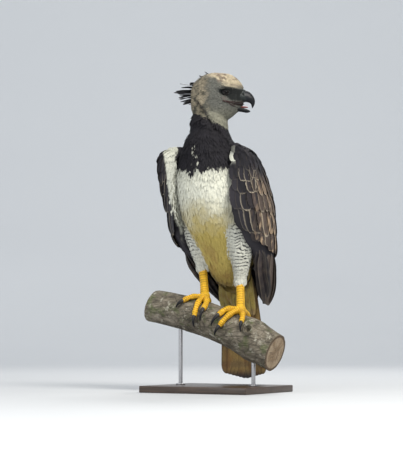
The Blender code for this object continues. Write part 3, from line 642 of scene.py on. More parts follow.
def set_coords(mesh: bpy.types.Mesh, points: Array) -> None:
    """Moves a mesh's vertices to new places."""
    mesh.vertices.foreach_set("co", points.astype(np.float32).ravel())
    mesh.update()


def point_normals(mesh: bpy.types.Mesh) -> Array:
    """Directions of a mesh's vertices, one in each row."""
    return read_vectors(mesh.vertex_normals, "vector")


def paint(mesh: bpy.types.Mesh, name: str, colours: Array) -> None:
    """Stores one colour for each vertex under a name.

    Args:
        mesh: The mesh.
        name: Name of the layer.
        colours: One colour for each vertex, or for all.
    """
    if name in mesh.attributes:
        mesh.attributes.remove(mesh.attributes[name])
    layer = mesh.attributes.new(name, "FLOAT_COLOR", "POINT")
    rgba = np.ones((len(mesh.vertices), 4), dtype=np.float32)
    rgba[:, : colours.shape[1]] = colours
    layer.data.foreach_set("color", rgba.ravel())


def paint_level(mesh: bpy.types.Mesh, name: str, level: Array) -> None:
    """Stores one value for each vertex under a name, as a grey."""
    paint(mesh, name, np.stack((level, level, level), axis=-1))


@dataclass
class Sheaf:
    """Many small four-sided strips gathered into one mesh.

    Every strip is a grid of points, and has a colour at each point, its own across and along
    values for the material, a place on the skin's unwrap and a direction for its shading.
    """

    points: list[Array] = field(default_factory=list)
    quads: list[Array] = field(default_factory=list)
    colours: list[Array] = field(default_factory=list)
    vanes: list[Array] = field(default_factory=list)
    bakes: list[Array] = field(default_factory=list)
    normals: list[Array] = field(default_factory=list)
    total: int = 0
    singles: int = 0

    def add(self, grid: Array, colour: Array, root_uv: Array, normal: Array, patch: float = 0.003) -> None:
        """Adds strips that all have the same rows and columns.

        Args:
            grid: Points, as strip, row, column and axis.
            colour: Colour of each point, in the same order.
            root_uv: Place of each strip's root on the unwrap.
            normal: Shading direction of each point, in the same order.
            patch: Size of each strip's patch on the unwrap.
        """
        count, rows, columns = grid.shape[:3]
        index = np.arange(rows * columns).reshape(rows, columns)
        corners = (index[:-1, :-1], index[:-1, 1:], index[1:, 1:], index[1:, :-1])
        cell = np.stack(corners, axis=-1).reshape(-1, 4)
        quads = cell[None] + (np.arange(count) * rows * columns)[:, None, None] + self.total
        # Strips whose faces would point inwards are wound the other way
        steps = np.cross(grid[:, :-1, 1:] - grid[:, :-1, :-1], grid[:, 1:, :-1] - grid[:, :-1, :-1])
        inward = np.sum(steps * normal[:, :-1, :-1], axis=(1, 2, 3)) < 0
        quads = np.where(inward[:, None, None], quads[:, :, ::-1], quads)
        across, along = np.meshgrid(np.linspace(0, 1, columns), np.linspace(0, 1, rows))
        vane = np.broadcast_to(np.stack((across, along), axis=-1), (count, rows, columns, 2))
        self.points.append(grid.reshape(-1, 3))
        self.quads.append(quads.reshape(-1, 4))
        self.colours.append(colour.reshape(-1, colour.shape[-1]))
        self.vanes.append(vane.reshape(-1, 2))
        self.bakes.append((root_uv[:, None, None] + (vane - 0.5) * patch).reshape(-1, 2))
        self.normals.append(normal.reshape(-1, 3))
        self.total += count * rows * columns

    def add_single(self, grid: Array, colour: Array, normal: Array, cells: int) -> None:
        """Adds one large strip with a square of the unwrap for itself.

        Args:
            grid: Points, as row, column and axis.
            colour: Colour of each point, in the same order.
            normal: Shading direction of each point, in the same order.
            cells: Squares along each side of the unwrap.
        """
        spot = np.array([[self.singles % cells + 0.5, self.singles // cells + 0.5]]) / cells
        self.singles += 1
        self.add(grid[None], colour[None], spot, normal[None], 0.94 / cells)

    def build(self, name: str, material: bpy.types.Material) -> Piece:
        """Makes the object, shaded by the stored directions.

        Args:
            name: Name of the new object.
            material: Its material.

        Returns:
            The new object.
        """
        points, quads = np.concatenate(self.points), np.concatenate(self.quads)
        mesh = bpy.data.meshes.new(name)
        mesh.vertices.add(len(points))
        mesh.vertices.foreach_set("co", points.astype(np.float32).ravel())
        mesh.loops.add(quads.size)
        mesh.loops.foreach_set("vertex_index", quads.astype(np.int32).ravel())
        mesh.polygons.add(len(quads))
        mesh.polygons.foreach_set("loop_start", np.arange(len(quads), dtype=np.int32) * 4)
        mesh.update(calc_edges=True)
        for layer, values in (("OFBake", self.bakes), ("vane", self.vanes)):
            uv = mesh.uv_layers.new(name=layer)
            spot = np.concatenate(values)[quads.ravel()]
            uv.data.foreach_set("uv", np.clip(spot, 0.0, 1.0).astype(np.float32).ravel())
        paint(mesh, "tint", np.concatenate(self.colours))
        mesh.polygons.foreach_set("use_smooth", np.ones(len(quads), dtype=bool))
        mesh.normals_split_custom_set_from_vertices(unit(np.concatenate(self.normals)).tolist())
        mesh.materials.append(material)
        obj = bpy.data.objects.new(name, mesh)
        bpy.context.scene.collection.objects.link(obj)
        return obj


def dress(obj: Piece, nodes: Sequence[str] = ()) -> Piece:
    """Lets a finished piece ride on the model and in place of its nodes.

    Args:
        obj: The piece.
        nodes: Nodes that it stands for.

    Returns:
        The same piece.
    """
    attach(obj, "root")
    if nodes:
        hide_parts(*nodes)
    tris = sum(len(p.vertices) - 2 for p in obj.data.polygons)
    LOG.info("%s: %d triangles", obj.name, tris)
    return obj


class Graph:
    """Short words for making the nodes of one material."""

    def __init__(self, name: str) -> None:
        """Starts an empty material with a shader.

        Args:
            name: Name of the material.
        """
        self.material = bpy.data.materials.new(name)
        self.material.use_nodes = True
        self.tree = self.material.node_tree
        self.tree.nodes.clear()
        self.out = self.tree.nodes.new("ShaderNodeOutputMaterial")
        self.shader = self.tree.nodes.new("ShaderNodeBsdfPrincipled")
        self.tree.links.new(self.shader.outputs[0], self.out.inputs[0])

    def feed(self, socket: Socket, value: object) -> None:
        """Links a socket to another one, or sets its number or colour.

        Args:
            socket: Socket to feed.
            value: Another socket, a number or a colour.
        """
        if isinstance(value, Socket):
            self.tree.links.new(value, socket)
        elif isinstance(value, (tuple, list)) and len(value) == 3 and len(socket.default_value) == 4:
            socket.default_value = (*value, 1.0)
        else:
            socket.default_value = value

    def shade(self, **values: object) -> None:
        """Feeds the shader's sockets, named with underscores for their spaces."""
        for key, value in values.items():
            self.feed(self.shader.inputs[key.replace("_", " ")], value)

    def node(self, kind: str, out: int | str, inputs: dict[int | str, object], **fields: object) -> Socket:
        """Adds one node.

        Args:
            kind: Its type, without the words that every type starts with.
            out: Which output to return.
            inputs: Sockets or values for its inputs.
            fields: Its own settings by name.

        Returns:
            That output.
        """
        node = self.tree.nodes.new("ShaderNode" + kind)
        for key, value in fields.items():
            setattr(node, key, value)
        for key, value in inputs.items():
            self.feed(node.inputs[key], value)
        return node.outputs[out]

    def attribute(self, name: str) -> Socket:
        """Colour of a named attribute of the mesh."""
        return self.node("Attribute", "Color", {}, attribute_name=name)

    def objects(self, scale: Sequence[float] = (1, 1, 1), turn: Sequence[float] = (0, 0, 0)) -> Socket:
        """Object coordinates, turned and stretched by a Mapping node."""
        place = self.node("TexCoord", "Object", {})
        return self.node("Mapping", "Vector", {"Vector": place, "Scale": scale, "Rotation": turn})

    def vane(self) -> tuple[Socket, Socket]:
        """Across and along values of the strip that is shaded, from 0 to 1."""
        place = self.node("UVMap", "UV", {}, uv_map="vane")
        return self.axis(place, "X"), self.axis(place, "Y")

    def axis(self, vector: Socket, name: str) -> Socket:
        """One axis of a vector."""
        return self.node("SeparateXYZ", name, {0: vector})

    def noise(self, vector: Socket, scale: float, detail: float = 3.0, rough: float = 0.55) -> Socket:
        """Value of a noise texture, from 0 to 1."""
        values = {"Vector": vector, "Scale": scale, "Detail": detail, "Roughness": rough}
        return self.node("TexNoise", "Fac", values)

    def cells(self, vector: Socket, scale: float) -> Socket:
        """Distance to the nearest edge of a cell texture."""
        values = {"Vector": vector, "Scale": scale}
        return self.node("TexVoronoi", "Distance", values, feature="DISTANCE_TO_EDGE")

    def math(self, operation: str, first: object, second: object = 0.0) -> Socket:
        """Result of one sum."""
        return self.node("Math", 0, {0: first, 1: second}, operation=operation)

    def mix(self, share: object, first: object, second: object, blend: str = "MIX") -> Socket:
        """Mixed colour of two, by the share of the second."""
        values = {"Factor": share, 6: first, 7: second}
        return self.node("Mix", 2, values, data_type="RGBA", blend_type=blend)

    def ramp(self, value: object, stops: Sequence[tuple[float, Sequence[float]]]) -> Socket:
        """Colour read from stops along a value.

        Args:
            value: The value.
            stops: Place and colour of each stop.

        Returns:
            The node's output.
        """
        node = self.tree.nodes.new("ShaderNodeValToRGB")
        ramp = node.color_ramp
        while len(ramp.elements) < len(stops):
            ramp.elements.new(0.5)
        for element, (place, colour) in zip(ramp.elements, stops):
            element.position = place
            element.color = (*colour, 1.0)
        self.feed(node.inputs[0], value)
        return node.outputs[0]

    def toned(
        self, share: float, colour: object, value: object, low: tuple[float, float], high: tuple[float, float]
    ) -> Socket:
        """A colour darkened and lightened by a value.

        Args:
            share: How much of it shows.
            colour: The colour.
            value: The value from 0 to 1.
            low: Place and brightness of the dark end.
            high: Place and brightness of the light end.

        Returns:
            The new colour.
        """
        stops = tuple((place, (level,) * 3) for place, level in (low, high))
        return self.mix(share, colour, self.ramp(value, stops), "MULTIPLY")

    def span(self, value: object, low: float, high: float, to_low: float, to_high: float) -> Socket:
        """A value moved from one range to another and held inside it."""
        return self.node("MapRange", 0, {0: value, 1: low, 2: high, 3: to_low, 4: to_high}, clamp=True)

    def bump(self, height: object, strength: float, distance: float) -> Socket:
        """Shading direction raised by a height in metres times the distance."""
        return self.node("Bump", 0, {"Strength": strength, "Distance": distance, "Height": height})


@dataclass(frozen=True)
class PlumageFinish:
    """Soft feathers whose colour comes from the mesh, with fine barbs drawn along each strip."""

    name: str
    roughness: float = 0.78
    sheen: float = 0.12
    lines: float = 26.0
    relief: float = 0.35
    mottle: float = 0.22
    shaft: float = 0.0
    barred: bool = False

    def make(self) -> bpy.types.Material:
        """Builds the material.

        Returns:
            The material.
        """
        g = Graph(self.name)
        across, along = g.vane()
        colour = g.attribute("tint")
        lumps = g.noise(g.objects(), 260.0, 3.0, 0.6)
        colour = g.toned(self.mottle, colour, lumps, (0.30, 0.35), (0.68, 1.25))
        out = g.math("ABSOLUTE", g.math("SUBTRACT", across, 0.5))
        sloped = g.math("MULTIPLY", out, -self.lines * 0.55)
        slant = g.math("ADD", g.math("MULTIPLY", along, self.lines), sloped)
        ripple = g.math("SINE", g.math("MULTIPLY", slant, 2 * math.pi))
        fine = g.span(ripple, -1.0, 1.0, 0.80, 1.06)
        colour = g.mix(0.6, colour, fine, "MULTIPLY")
        if self.barred:
            mask = g.axis(g.attribute("bar"), "X")
            place = g.objects()
            wave = g.math("MULTIPLY", g.noise(g.objects((1, 1, 0.5)), 34.0, 3.0), 3.4)
            height = g.math("MULTIPLY", g.axis(place, "Z"), 100.0)
            bar = g.math("SINE", g.math("MULTIPLY", g.math("ADD", height, wave), 2 * math.pi))
            uneven = g.span(g.noise(g.objects((1, 1, 1.3)), 62.0, 2.0), 0.3, 0.7, -0.65, 0.40)
            bar = g.math("ADD", bar, uneven)
            broken = g.span(g.noise(place, 105.0, 2.0), 0.34, 0.46, 0.0, 1.0)
            dark = g.math("MULTIPLY", g.span(bar, 0.14, 0.60, 0.0, 0.96), g.math("MULTIPLY", mask, broken))
            colour = g.mix(dark, colour, (0.030, 0.030, 0.034))
        if self.shaft:
            rib = g.span(out, 0.010, 0.030, self.shaft, 0.0)
            colour = g.mix(rib, colour, (0.16, 0.12, 0.08))
        height = g.math("ADD", g.math("MULTIPLY", ripple, 0.5), g.math("MULTIPLY", lumps, 0.8))
        g.shade(
            Base_Color=colour,
            Roughness=self.roughness,
            Sheen_Weight=self.sheen,
            Sheen_Roughness=0.5,
            Specular_IOR_Level=0.22,
            Normal=g.bump(height, self.relief, 0.0006),
        )
        return g.material


@dataclass(frozen=True)
class SkinFinish:
    """Bare or thinly feathered skin, coloured by the mesh and creased by small cells."""

    name: str
    roughness: float = 0.6
    cell: float = 700.0
    relief: float = 0.4
    depth: float = 0.0006
    wet: float = 0.0

    def make(self) -> bpy.types.Material:
        """Builds the material.

        Returns:
            The material.
        """
        g = Graph(self.name)
        place = g.objects()
        colour = g.attribute("tint")
        lumps = g.noise(place, 180.0, 4.0, 0.6)
        colour = g.toned(0.35, colour, lumps, (0.30, 0.45), (0.70, 1.2))
        crease = g.cells(place, self.cell)
        # Painted shade in the creases between the cells
        dark = g.span(crease, 0.0, 0.10, 0.45, 0.0)
        colour = g.mix(dark, colour, (0.03, 0.022, 0.016), "MULTIPLY")
        height = g.math("ADD", g.span(crease, 0.0, 0.22, 0.0, 1.0), g.math("MULTIPLY", lumps, 0.5))
        rough = g.span(lumps, 0.3, 0.7, self.roughness - 0.10, self.roughness + 0.10)
        g.shade(
            Base_Color=colour,
            Roughness=rough,
            Coat_Weight=self.wet,
            Coat_Roughness=0.15,
            Specular_IOR_Level=0.30,
            Subsurface_Weight=0.05,
            Subsurface_Scale=0.003,
            Normal=g.bump(height, self.relief, self.depth),
        )
        return g.material


@dataclass(frozen=True)
class HornFinish:
    """Horn of bill and claws: coloured by the mesh, with fine growth lines and a soft gloss."""

    name: str
    roughness: float = 0.42
    coat: float = 0.06

    def make(self) -> bpy.types.Material:
        """Builds the material.

        Returns:
            The material.
        """
        g = Graph(self.name)
        colour = g.attribute("tint")
        streak = g.noise(g.objects((1.0, 1.0, 3.2)), 210.0, 5.0, 0.62)
        colour = g.toned(0.5, colour, streak, (0.32, 0.5), (0.72, 1.5))
        rough = g.span(streak, 0.3, 0.7, self.roughness - 0.08, self.roughness + 0.14)
        g.shade(
            Base_Color=colour,
            Roughness=rough,
            Coat_Weight=self.coat,
            Coat_Roughness=0.22,
            Specular_IOR_Level=0.13,
            Normal=g.bump(streak, 0.16, 0.0005),
        )
        return g.material


@dataclass(frozen=True)
class EyeFinish:
    """A dark wet eye: pupil and iris come from the mesh, under a clear coat."""

    name: str = "eye_wet"

    def make(self) -> bpy.types.Material:
        """Builds the material.

        Returns:
            The material.
        """
        g = Graph(self.name)
        fibre = g.noise(g.objects(), 1500.0, 3.0, 0.6)
        colour = g.toned(0.5, g.attribute("tint"), fibre, (0.3, 0.4), (0.7, 1.6))
        g.shade(
            Base_Color=colour,
            Roughness=0.40,
            Coat_Weight=0.30,
            Coat_Roughness=0.03,
            Specular_IOR_Level=0.0,
            Normal=g.bump(fibre, 0.03, 0.0002),
        )
        return g.material


@dataclass(frozen=True)
class BarkFinish:
    """Rough bark with lichen: plates and cracks in the bump, pale and green growth in the colour."""

    name: str = "bark_lichen"

    def make(self) -> bpy.types.Material:
        """Builds the material.

        Returns:
            The material.
        """
        g = Graph(self.name)
        turn = (0.0, -PERCH_DROP, 0.0)
        along = g.objects((0.45, 1.0, 1.0), turn)
        plain = g.objects()
        coarse = g.noise(along, 34.0, 8.0, 0.66)
        fine = g.noise(along, 170.0, 7.0, 0.70)
        colour = g.ramp(
            coarse,
            (
                (0.30, (0.045, 0.038, 0.028)),
                (0.47, (0.13, 0.112, 0.083)),
                (0.60, (0.22, 0.19, 0.145)),
                (0.76, (0.34, 0.30, 0.24)),
            ),
        )
        colour = g.toned(0.7, colour, fine, (0.30, 0.35), (0.70, 1.45))
        crack = g.cells(g.objects((0.35, 1.0, 1.0), turn), 62.0)
        # Painted shade in the cracks
        colour = g.mix(g.span(crack, 0.0, 0.06, 0.55, 0.0), colour, (0.025, 0.02, 0.016))
        moss = g.span(g.noise(plain, 26.0, 6.0, 0.7), 0.52, 0.62, 0.0, 0.75)
        colour = g.mix(moss, colour, g.ramp(fine, ((0.3, (0.035, 0.045, 0.018)), (0.7, (0.12, 0.14, 0.055)))))
        pale = g.span(g.noise(plain, 41.0, 7.0, 0.72), 0.56, 0.64, 0.0, 0.85)
        colour = g.mix(pale, colour, g.ramp(fine, ((0.3, (0.26, 0.25, 0.20)), (0.7, (0.52, 0.49, 0.40)))))
        colour = g.mix(g.axis(g.attribute("tint"), "X"), colour, g.attribute("wood"))
        height = g.math("ADD", g.math("MULTIPLY", coarse, 1.4), g.math("MULTIPLY", fine, 0.7))
        height = g.math("ADD", height, g.math("MULTIPLY", pale, 0.25))
        height = g.math("ADD", height, g.span(crack, 0.0, 0.10, 0.0, 0.5))
        g.shade(
            Base_Color=colour,
            Roughness=g.span(fine, 0.3, 0.7, 0.75, 0.95),
            Specular_IOR_Level=0.25,
            Normal=g.bump(height, 0.75, 0.0035),
        )
        return g.material


@dataclass(frozen=True)
class BoardFinish:
    """Dark stained board with a fine straight grain under satin varnish."""

    name: str = "stained_board"

    def make(self) -> bpy.types.Material:
        """Builds the material.

        Returns:
            The material.
        """
        g = Graph(self.name)
        fibre = g.noise(g.objects((1.6, 22.0, 22.0)), 9.0, 9.0, 0.65)
        broad = g.noise(g.objects((0.8, 7.0, 7.0)), 5.0, 3.0)
        stains = ((0.28, (0.020, 0.012, 0.008)), (0.55, (0.055, 0.034, 0.022)), (0.75, (0.095, 0.060, 0.038)))
        colour = g.ramp(fibre, stains)
        colour = g.toned(0.5, colour, broad, (0.35, 0.6), (0.65, 1.35))
        g.shade(
            Base_Color=colour,
            Roughness=g.span(fibre, 0.3, 0.7, 0.34, 0.48),
            Coat_Weight=0.25,
            Coat_Roughness=0.25,
            Normal=g.bump(fibre, 0.12, 0.0006),
        )
        return g.material


@dataclass(frozen=True)
class SteelFinish:
    """Brushed steel with its lines round the rod."""

    name: str = "brushed_rod"

    def make(self) -> bpy.types.Material:
        """Builds the material.

        Returns:
            The material.
        """
        g = Graph(self.name)
        lines = g.noise(g.objects((4.0, 4.0, 260.0)), 14.0, 4.0, 0.7)
        g.shade(
            Base_Color=g.ramp(lines, ((0.3, (0.36, 0.36, 0.37)), (0.7, (0.56, 0.56, 0.57)))),
            Metallic=1.0,
            Roughness=g.span(lines, 0.3, 0.7, 0.26, 0.42),
            Normal=g.bump(lines, 0.06, 0.0003),
        )
        return g.material


@dataclass(frozen=True)
class RoomFinish:
    """Plain pale floor and backdrop, with a barely seen unevenness and painted shade near the bird."""

    name: str = "pale_room"
    colour: tuple[float, float, float] = (0.80, 0.82, 0.84)

    def make(self) -> bpy.types.Material:
        """Builds the material.

        Returns:
            The material.
        """
        g = Graph(self.name)
        cloud = g.noise(g.objects(), 2.5, 4.0)
        place = g.objects((1.0, 1.0, 2.0))
        far = g.node("VectorMath", "Value", {0: place}, operation="LENGTH")
        # Painted shade: the floor is darker near the bird, where the lights fall brightest, and paler towards
        # the backdrop
        shaded_near = tuple(value * 0.62 for value in self.colour)
        base = g.mix(g.span(far, 0.6, 5.5, 0.0, 1.0), shaded_near, self.colour)
        g.shade(
            Base_Color=g.mix(g.span(cloud, 0.3, 0.7, 0.0, 0.04), base, (1.0, 1.0, 1.0)),
            Roughness=g.span(cloud, 0.3, 0.7, 0.80, 0.90),
        )
        return g.material


Finish = (
    PlumageFinish | SkinFinish | HornFinish | EyeFinish | BarkFinish | BoardFinish | SteelFinish | RoomFinish
)


def finished(
    obj: Piece, finish: Finish, nodes: Sequence[str] = (), degrees: float = 60.0
) -> Piece:
    """Gives a piece its material, shades it smooth and lets it ride on the model.

    Args:
        obj: The piece.
        finish: Maker of its material.
        nodes: Nodes that it stands for.
        degrees: Angle above which an edge stays sharp.

    Returns:
        The same piece.
    """
    obj.data.materials.append(finish.make())
    return dress(smooth_shaded(obj, degrees), nodes)


class Shade:
    """Colours of the plumage and the bare parts, as linear red, green and blue."""

    CREAM = np.array((0.60, 0.51, 0.355))
    GREY = np.array((0.128, 0.129, 0.113))
    PALE_GREY = np.array((0.26, 0.255, 0.195))
    LORE_AND_BROW_SHADE = np.array((0.008, 0.010, 0.010))
    BLACK = np.array((0.010, 0.009, 0.012))
    SLATE = np.array((0.026, 0.023, 0.029))
    WHITE = np.array((0.62, 0.62, 0.52))
    YELLOW = np.array((0.43, 0.335, 0.092))
    OLIVE = np.array((0.235, 0.155, 0.042))
    THIGH = np.array((0.60, 0.60, 0.52))
    BROWN = np.array((0.085, 0.062, 0.050))
    TAN = np.array((0.44, 0.315, 0.20))
    RUST = np.array((0.20, 0.085, 0.030))
    EDGE = np.array((0.50, 0.43, 0.32))


def blend(first: Array, second: Array, share: Array) -> Array:
    """Colours mixed row by row."""
    share = np.asarray(share, dtype=float)[..., None]
    return first * (1 - share) + second * share


def leading_band(points: Array) -> Array:
    """Pale leading edge of the right wing: one inside the band and zero outside it.

    Args:
        points: Places measured from the level of the feet.

    Returns:
        One share for each place.
    """
    turn = math.radians(PHOTO_AZIMUTH)
    across = points[..., 0] * math.cos(turn) + points[..., 1] * math.sin(turn)
    left, right = spread(BAND_ROWS, points[..., 2].ravel()).T
    left, right = left.reshape(across.shape), right.reshape(across.shape)
    inside = smooth_step(-0.0012, 0.0016, across - left) * smooth_step(0.0016, -0.0012, across - right)
    front = smooth_step(-0.006, -0.020, points[..., 1]) * smooth_step(0.470, 0.460, points[..., 2])
    return inside * front * (points[..., 0] < 0)


def head_height(points: Array) -> Array:
    """Height of each place over the slanting lower edge of the hood."""
    way = unit(np.array((0.355, 0.205, 0.91)))
    return (points - np.array((0.0, -0.028, 0.533))) @ way


def ruff_line(forward: Array, up: Array) -> Array:
    """Distance in front of the fold of feathers that runs down behind the cheek."""
    return (forward + 0.0838) * 0.826 + (up + 0.021) * 0.563


def head_marking(points: Array) -> Array:
    """Colours of the hood at places measured from the level of the feet.

    Args:
        points: Places measured from the level of the feet.

    Returns:
        One colour for each place.
    """
    local = to_head(points)
    forward, up, side = -local[:, 1], local[:, 2], np.abs(local[:, 0])
    soft = grain(points, 0.010, 3)
    line = 0.020 + 0.55 * np.maximum(0.0, 0.010 - forward)
    crown = smooth_step(-0.008, 0.010, up - line + 0.004 * soft)
    colour = blend(Shade.GREY, Shade.PALE_GREY, smooth_step(-0.035, -0.075, up))
    # Towards the nape the cream is dimmed and mottled: partly its duskier feathers, partly painted shade on
    # the nape
    nape = smooth_step(0.036, 0.066, -forward + 0.006 * soft) * 0.88
    spots = smooth_step(-0.2, 0.5, grain(points, 0.006, 8))
    mottled = blend(Shade.CREAM * 0.46, np.array((0.070, 0.066, 0.048)), spots)
    colour = blend(colour, mottled, nape)
    patchy = smooth_step(0.0, 0.55, grain(points, 0.009, 12)) * smooth_step(0.015, -0.020, forward)
    cream = Shade.CREAM * (1.0 - 0.30 * smooth_step(0.02, 0.09, -forward))[:, None]
    cream = blend(cream, np.array((0.115, 0.095, 0.075)), patchy * 0.85)
    dapple = smooth_step(0.10, 0.60, grain(points * np.array((1.0, 1.0, 2.2)), 0.012, 21))
    dapple = dapple * smooth_step(0.050, 0.025, forward)
    cream = blend(cream, np.array((0.17, 0.115, 0.090)), dapple * 0.82)
    colour = blend(colour, cream, crown)
    colour = colour * (1.0 - 0.30 * smooth_step(0.1, 0.7, grain(points, 0.0045, 33)))[:, None]
    # Painted shade along the fold of feathers that runs down behind the cheek
    fold_shade = np.exp(-(((ruff_line(forward, up) + 0.004 * soft) / 0.0045) ** 2))
    fold_shade = fold_shade * smooth_step(-0.005, -0.030, up) * smooth_step(0.022, 0.034, side)
    colour = blend(colour, Shade.BLACK * 2.2, fold_shade * 0.85)
    # Pale feathers along the brow, with a painted highlight along the top of its ridge, then the dark
    # band from behind the eye to the bill, which goes down to the mouth in front of the eye: the dark
    # lores, with painted shade under the brow above the eye
    upper_line = 0.0128 - 12.0 * np.maximum(0.0, 0.004 - forward) ** 2
    upper_line = upper_line - 3.0 * np.maximum(0.0, forward - 0.020) ** 2
    lower_line = -0.0085 - 0.0135 * smooth_step(-0.002, 0.020, forward)
    lower_line = lower_line + 0.008 * smooth_step(-0.004, -0.018, forward)
    brow_pale_and_highlight = np.exp(-(((up - 0.0205 + 0.10 * forward) / 0.0048) ** 2) - ((forward - 0.012) / 0.022) ** 4)
    colour = blend(colour, Shade.CREAM * 1.08, brow_pale_and_highlight * 0.65)
    lores_and_brow_shade = smooth_step(0.0030, -0.0012, up - upper_line + 0.0012 * soft)
    lores_and_brow_shade = lores_and_brow_shade * smooth_step(-0.0030, 0.0020, up - lower_line + 0.0015 * soft)
    lores_and_brow_shade = lores_and_brow_shade * smooth_step(-0.026, -0.014, forward)
    colour = blend(colour, Shade.LORE_AND_BROW_SHADE, lores_and_brow_shade * 0.96)
    wedge = 0.0022 + 0.0046 * smooth_step(0.004, 0.036, forward)
    gape = np.abs(up + 0.0262 + 0.0048 * smooth_step(0.0, 0.036, forward)) / wedge
    gape = smooth_step(1.25, 0.75, gape + 0.15 * soft) * smooth_step(-0.012, 0.000, forward)
    colour = blend(colour, np.array((0.022, 0.011, 0.009)), gape * 0.95)
    # Painted pinkish highlight below the eye
    highlight_below_eye = np.exp(-(((forward + 0.002) / 0.006) ** 2) - ((up + 0.0165) / 0.0035) ** 2)
    return blend(colour, np.array((0.20, 0.14, 0.13)), highlight_below_eye * 0.5)


def marking(points: Array) -> Array:
    """Colours of the plumage, the same for skin and feathers.

    Args:
        points: Places measured from the level of the feet.

    Returns:
        One colour for each place.
    """
    x, y, z = points[:, 0], points[:, 1], points[:, 2]
    rough = grain(points, 0.016, 5)
    fine = grain(points, 0.006, 6)
    middle = spread(TRUNK_ROWS, z)[:, 0]
    # White breast that turns yellow downwards, most of all along its middle
    blotch = grain(points, 0.030, 61)
    low = smooth_step(0.330, 0.195, z + 0.012 * rough + 0.024 * blotch + 0.13 * np.abs(x - 0.004))
    colour = blend(Shade.WHITE, Shade.YELLOW, low)
    colour = blend(colour, Shade.OLIVE, smooth_step(0.125, 0.050, z) * 0.6)
    rust = smooth_step(0.05, 0.60, grain(points, 0.022, 52)) * smooth_step(0.240, 0.120, z)
    colour = blend(colour, Shade.RUST, rust * 0.38)
    colour = colour * (1.0 + 0.06 * fine)[:, None]
    # Black band over the breast, with a lobe and some white flecks
    lobe = 0.024 * np.exp(-(((x + 0.019) / 0.009) ** 2))
    lobe = lobe + 0.008 * np.exp(-(((x - 0.020) / 0.014) ** 2)) - 0.009 * smooth_step(-0.050, -0.085, x)
    band = smooth_step(-0.004, 0.004, z - 0.387 + lobe + 0.0045 * rough + 0.003 * fine)
    black = Shade.BLACK * (1.0 + 0.5 * smooth_step(0.1, 0.8, rough))[:, None]
    streak = x + 0.012 - 14.0 * (z - 0.447) ** 2
    fleck = np.exp(-((streak / 0.0034) ** 2) - ((z - 0.450) / 0.018) ** 4)
    fleck = np.maximum(fleck, np.exp(-(((x + 0.004) / 0.008) ** 2) - ((z - 0.429 + 0.4 * x) / 0.0045) ** 2))
    fleck = np.maximum(fleck, np.exp(-(((x - 0.002) / 0.012) ** 2) - ((z - 0.407 - 0.5 * x) / 0.0048) ** 2))
    fleck = fleck * (y < middle)
    black = blend(black, Shade.WHITE * 0.75, smooth_step(0.42, 0.80, fleck + 0.14 * fine))
    colour = blend(colour, black, band)
    # Slate back, its tone uneven in patches
    back = smooth_step(0.018, 0.050, y - middle + 0.010 * rough)
    slate = Shade.SLATE * (1.0 + 0.35 * rough)[:, None]
    colour = blend(colour, slate, back)
    thigh = Region.leg_reach(points) * smooth_step(0.262, 0.205, z)
    colour = blend(colour, Shade.THIGH, thigh)
    hood = smooth_step(-0.004, 0.004, head_height(points) + 0.006 * rough)
    near = z > 0.47
    if near.any():
        face = np.zeros_like(points)
        face[near] = head_marking(points[near])
        colour = np.where(near[:, None], blend(colour, face, hood), colour)
    return np.clip(colour, 0.004, 0.95)


def bar_mask(points: Array) -> Array:
    """Where the thin dark bars of the thighs show, from 0 to 1.

    Args:
        points: Places measured from the level of the feet.

    Returns:
        One share for each place.
    """
    z = points[:, 2]
    top = np.where(points[:, 0] > 0, SHANK_TOP[1], SHANK_TOP[-1])
    middle = spread(THIGH_ROWS, z - top)[:, 0]
    outer = 0.45 + 0.55 * smooth_step(-0.014, 0.008, np.abs(points[:, 0]) - middle)
    inside = Region.leg_reach(points) * (0.22 + 0.78 * smooth_step(top + 0.018, top + 0.065, z))
    return np.clip(inside * outer * smooth_step(0.268, 0.215, z), 0, 1)


def lie_of(points: Array, normals: Array) -> Array:
    """Direction in which the plumage lies, along the surface, at each place.

    Args:
        points: Places measured from the level of the feet.
        normals: Outward directions there.

    Returns:
        Directions with length one.
    """
    local = to_head(points)
    away = unit(local - np.array((0.0, -0.058, -0.006)))
    away = away + np.array((0.0, 0.10, -0.30)) * smooth_step(-0.02, 0.10, local[:, 1])[:, None]
    head = turned(away, HEAD_TURN)
    trunk = np.zeros_like(points)
    trunk[:, 2] = -1.0
    trunk[:, 0] = 0.25 * np.sign(points[:, 0]) * smooth_step(0.01, 0.06, np.abs(points[:, 0]))
    trunk[:, 0] *= smooth_step(0.30, 0.42, points[:, 2])
    share = smooth_step(0.500, 0.565, points[:, 2])[:, None]
    way = head * share + trunk * (1 - share)
    way = way - normals * np.sum(way * normals, axis=1, keepdims=True)
    return unit(way)


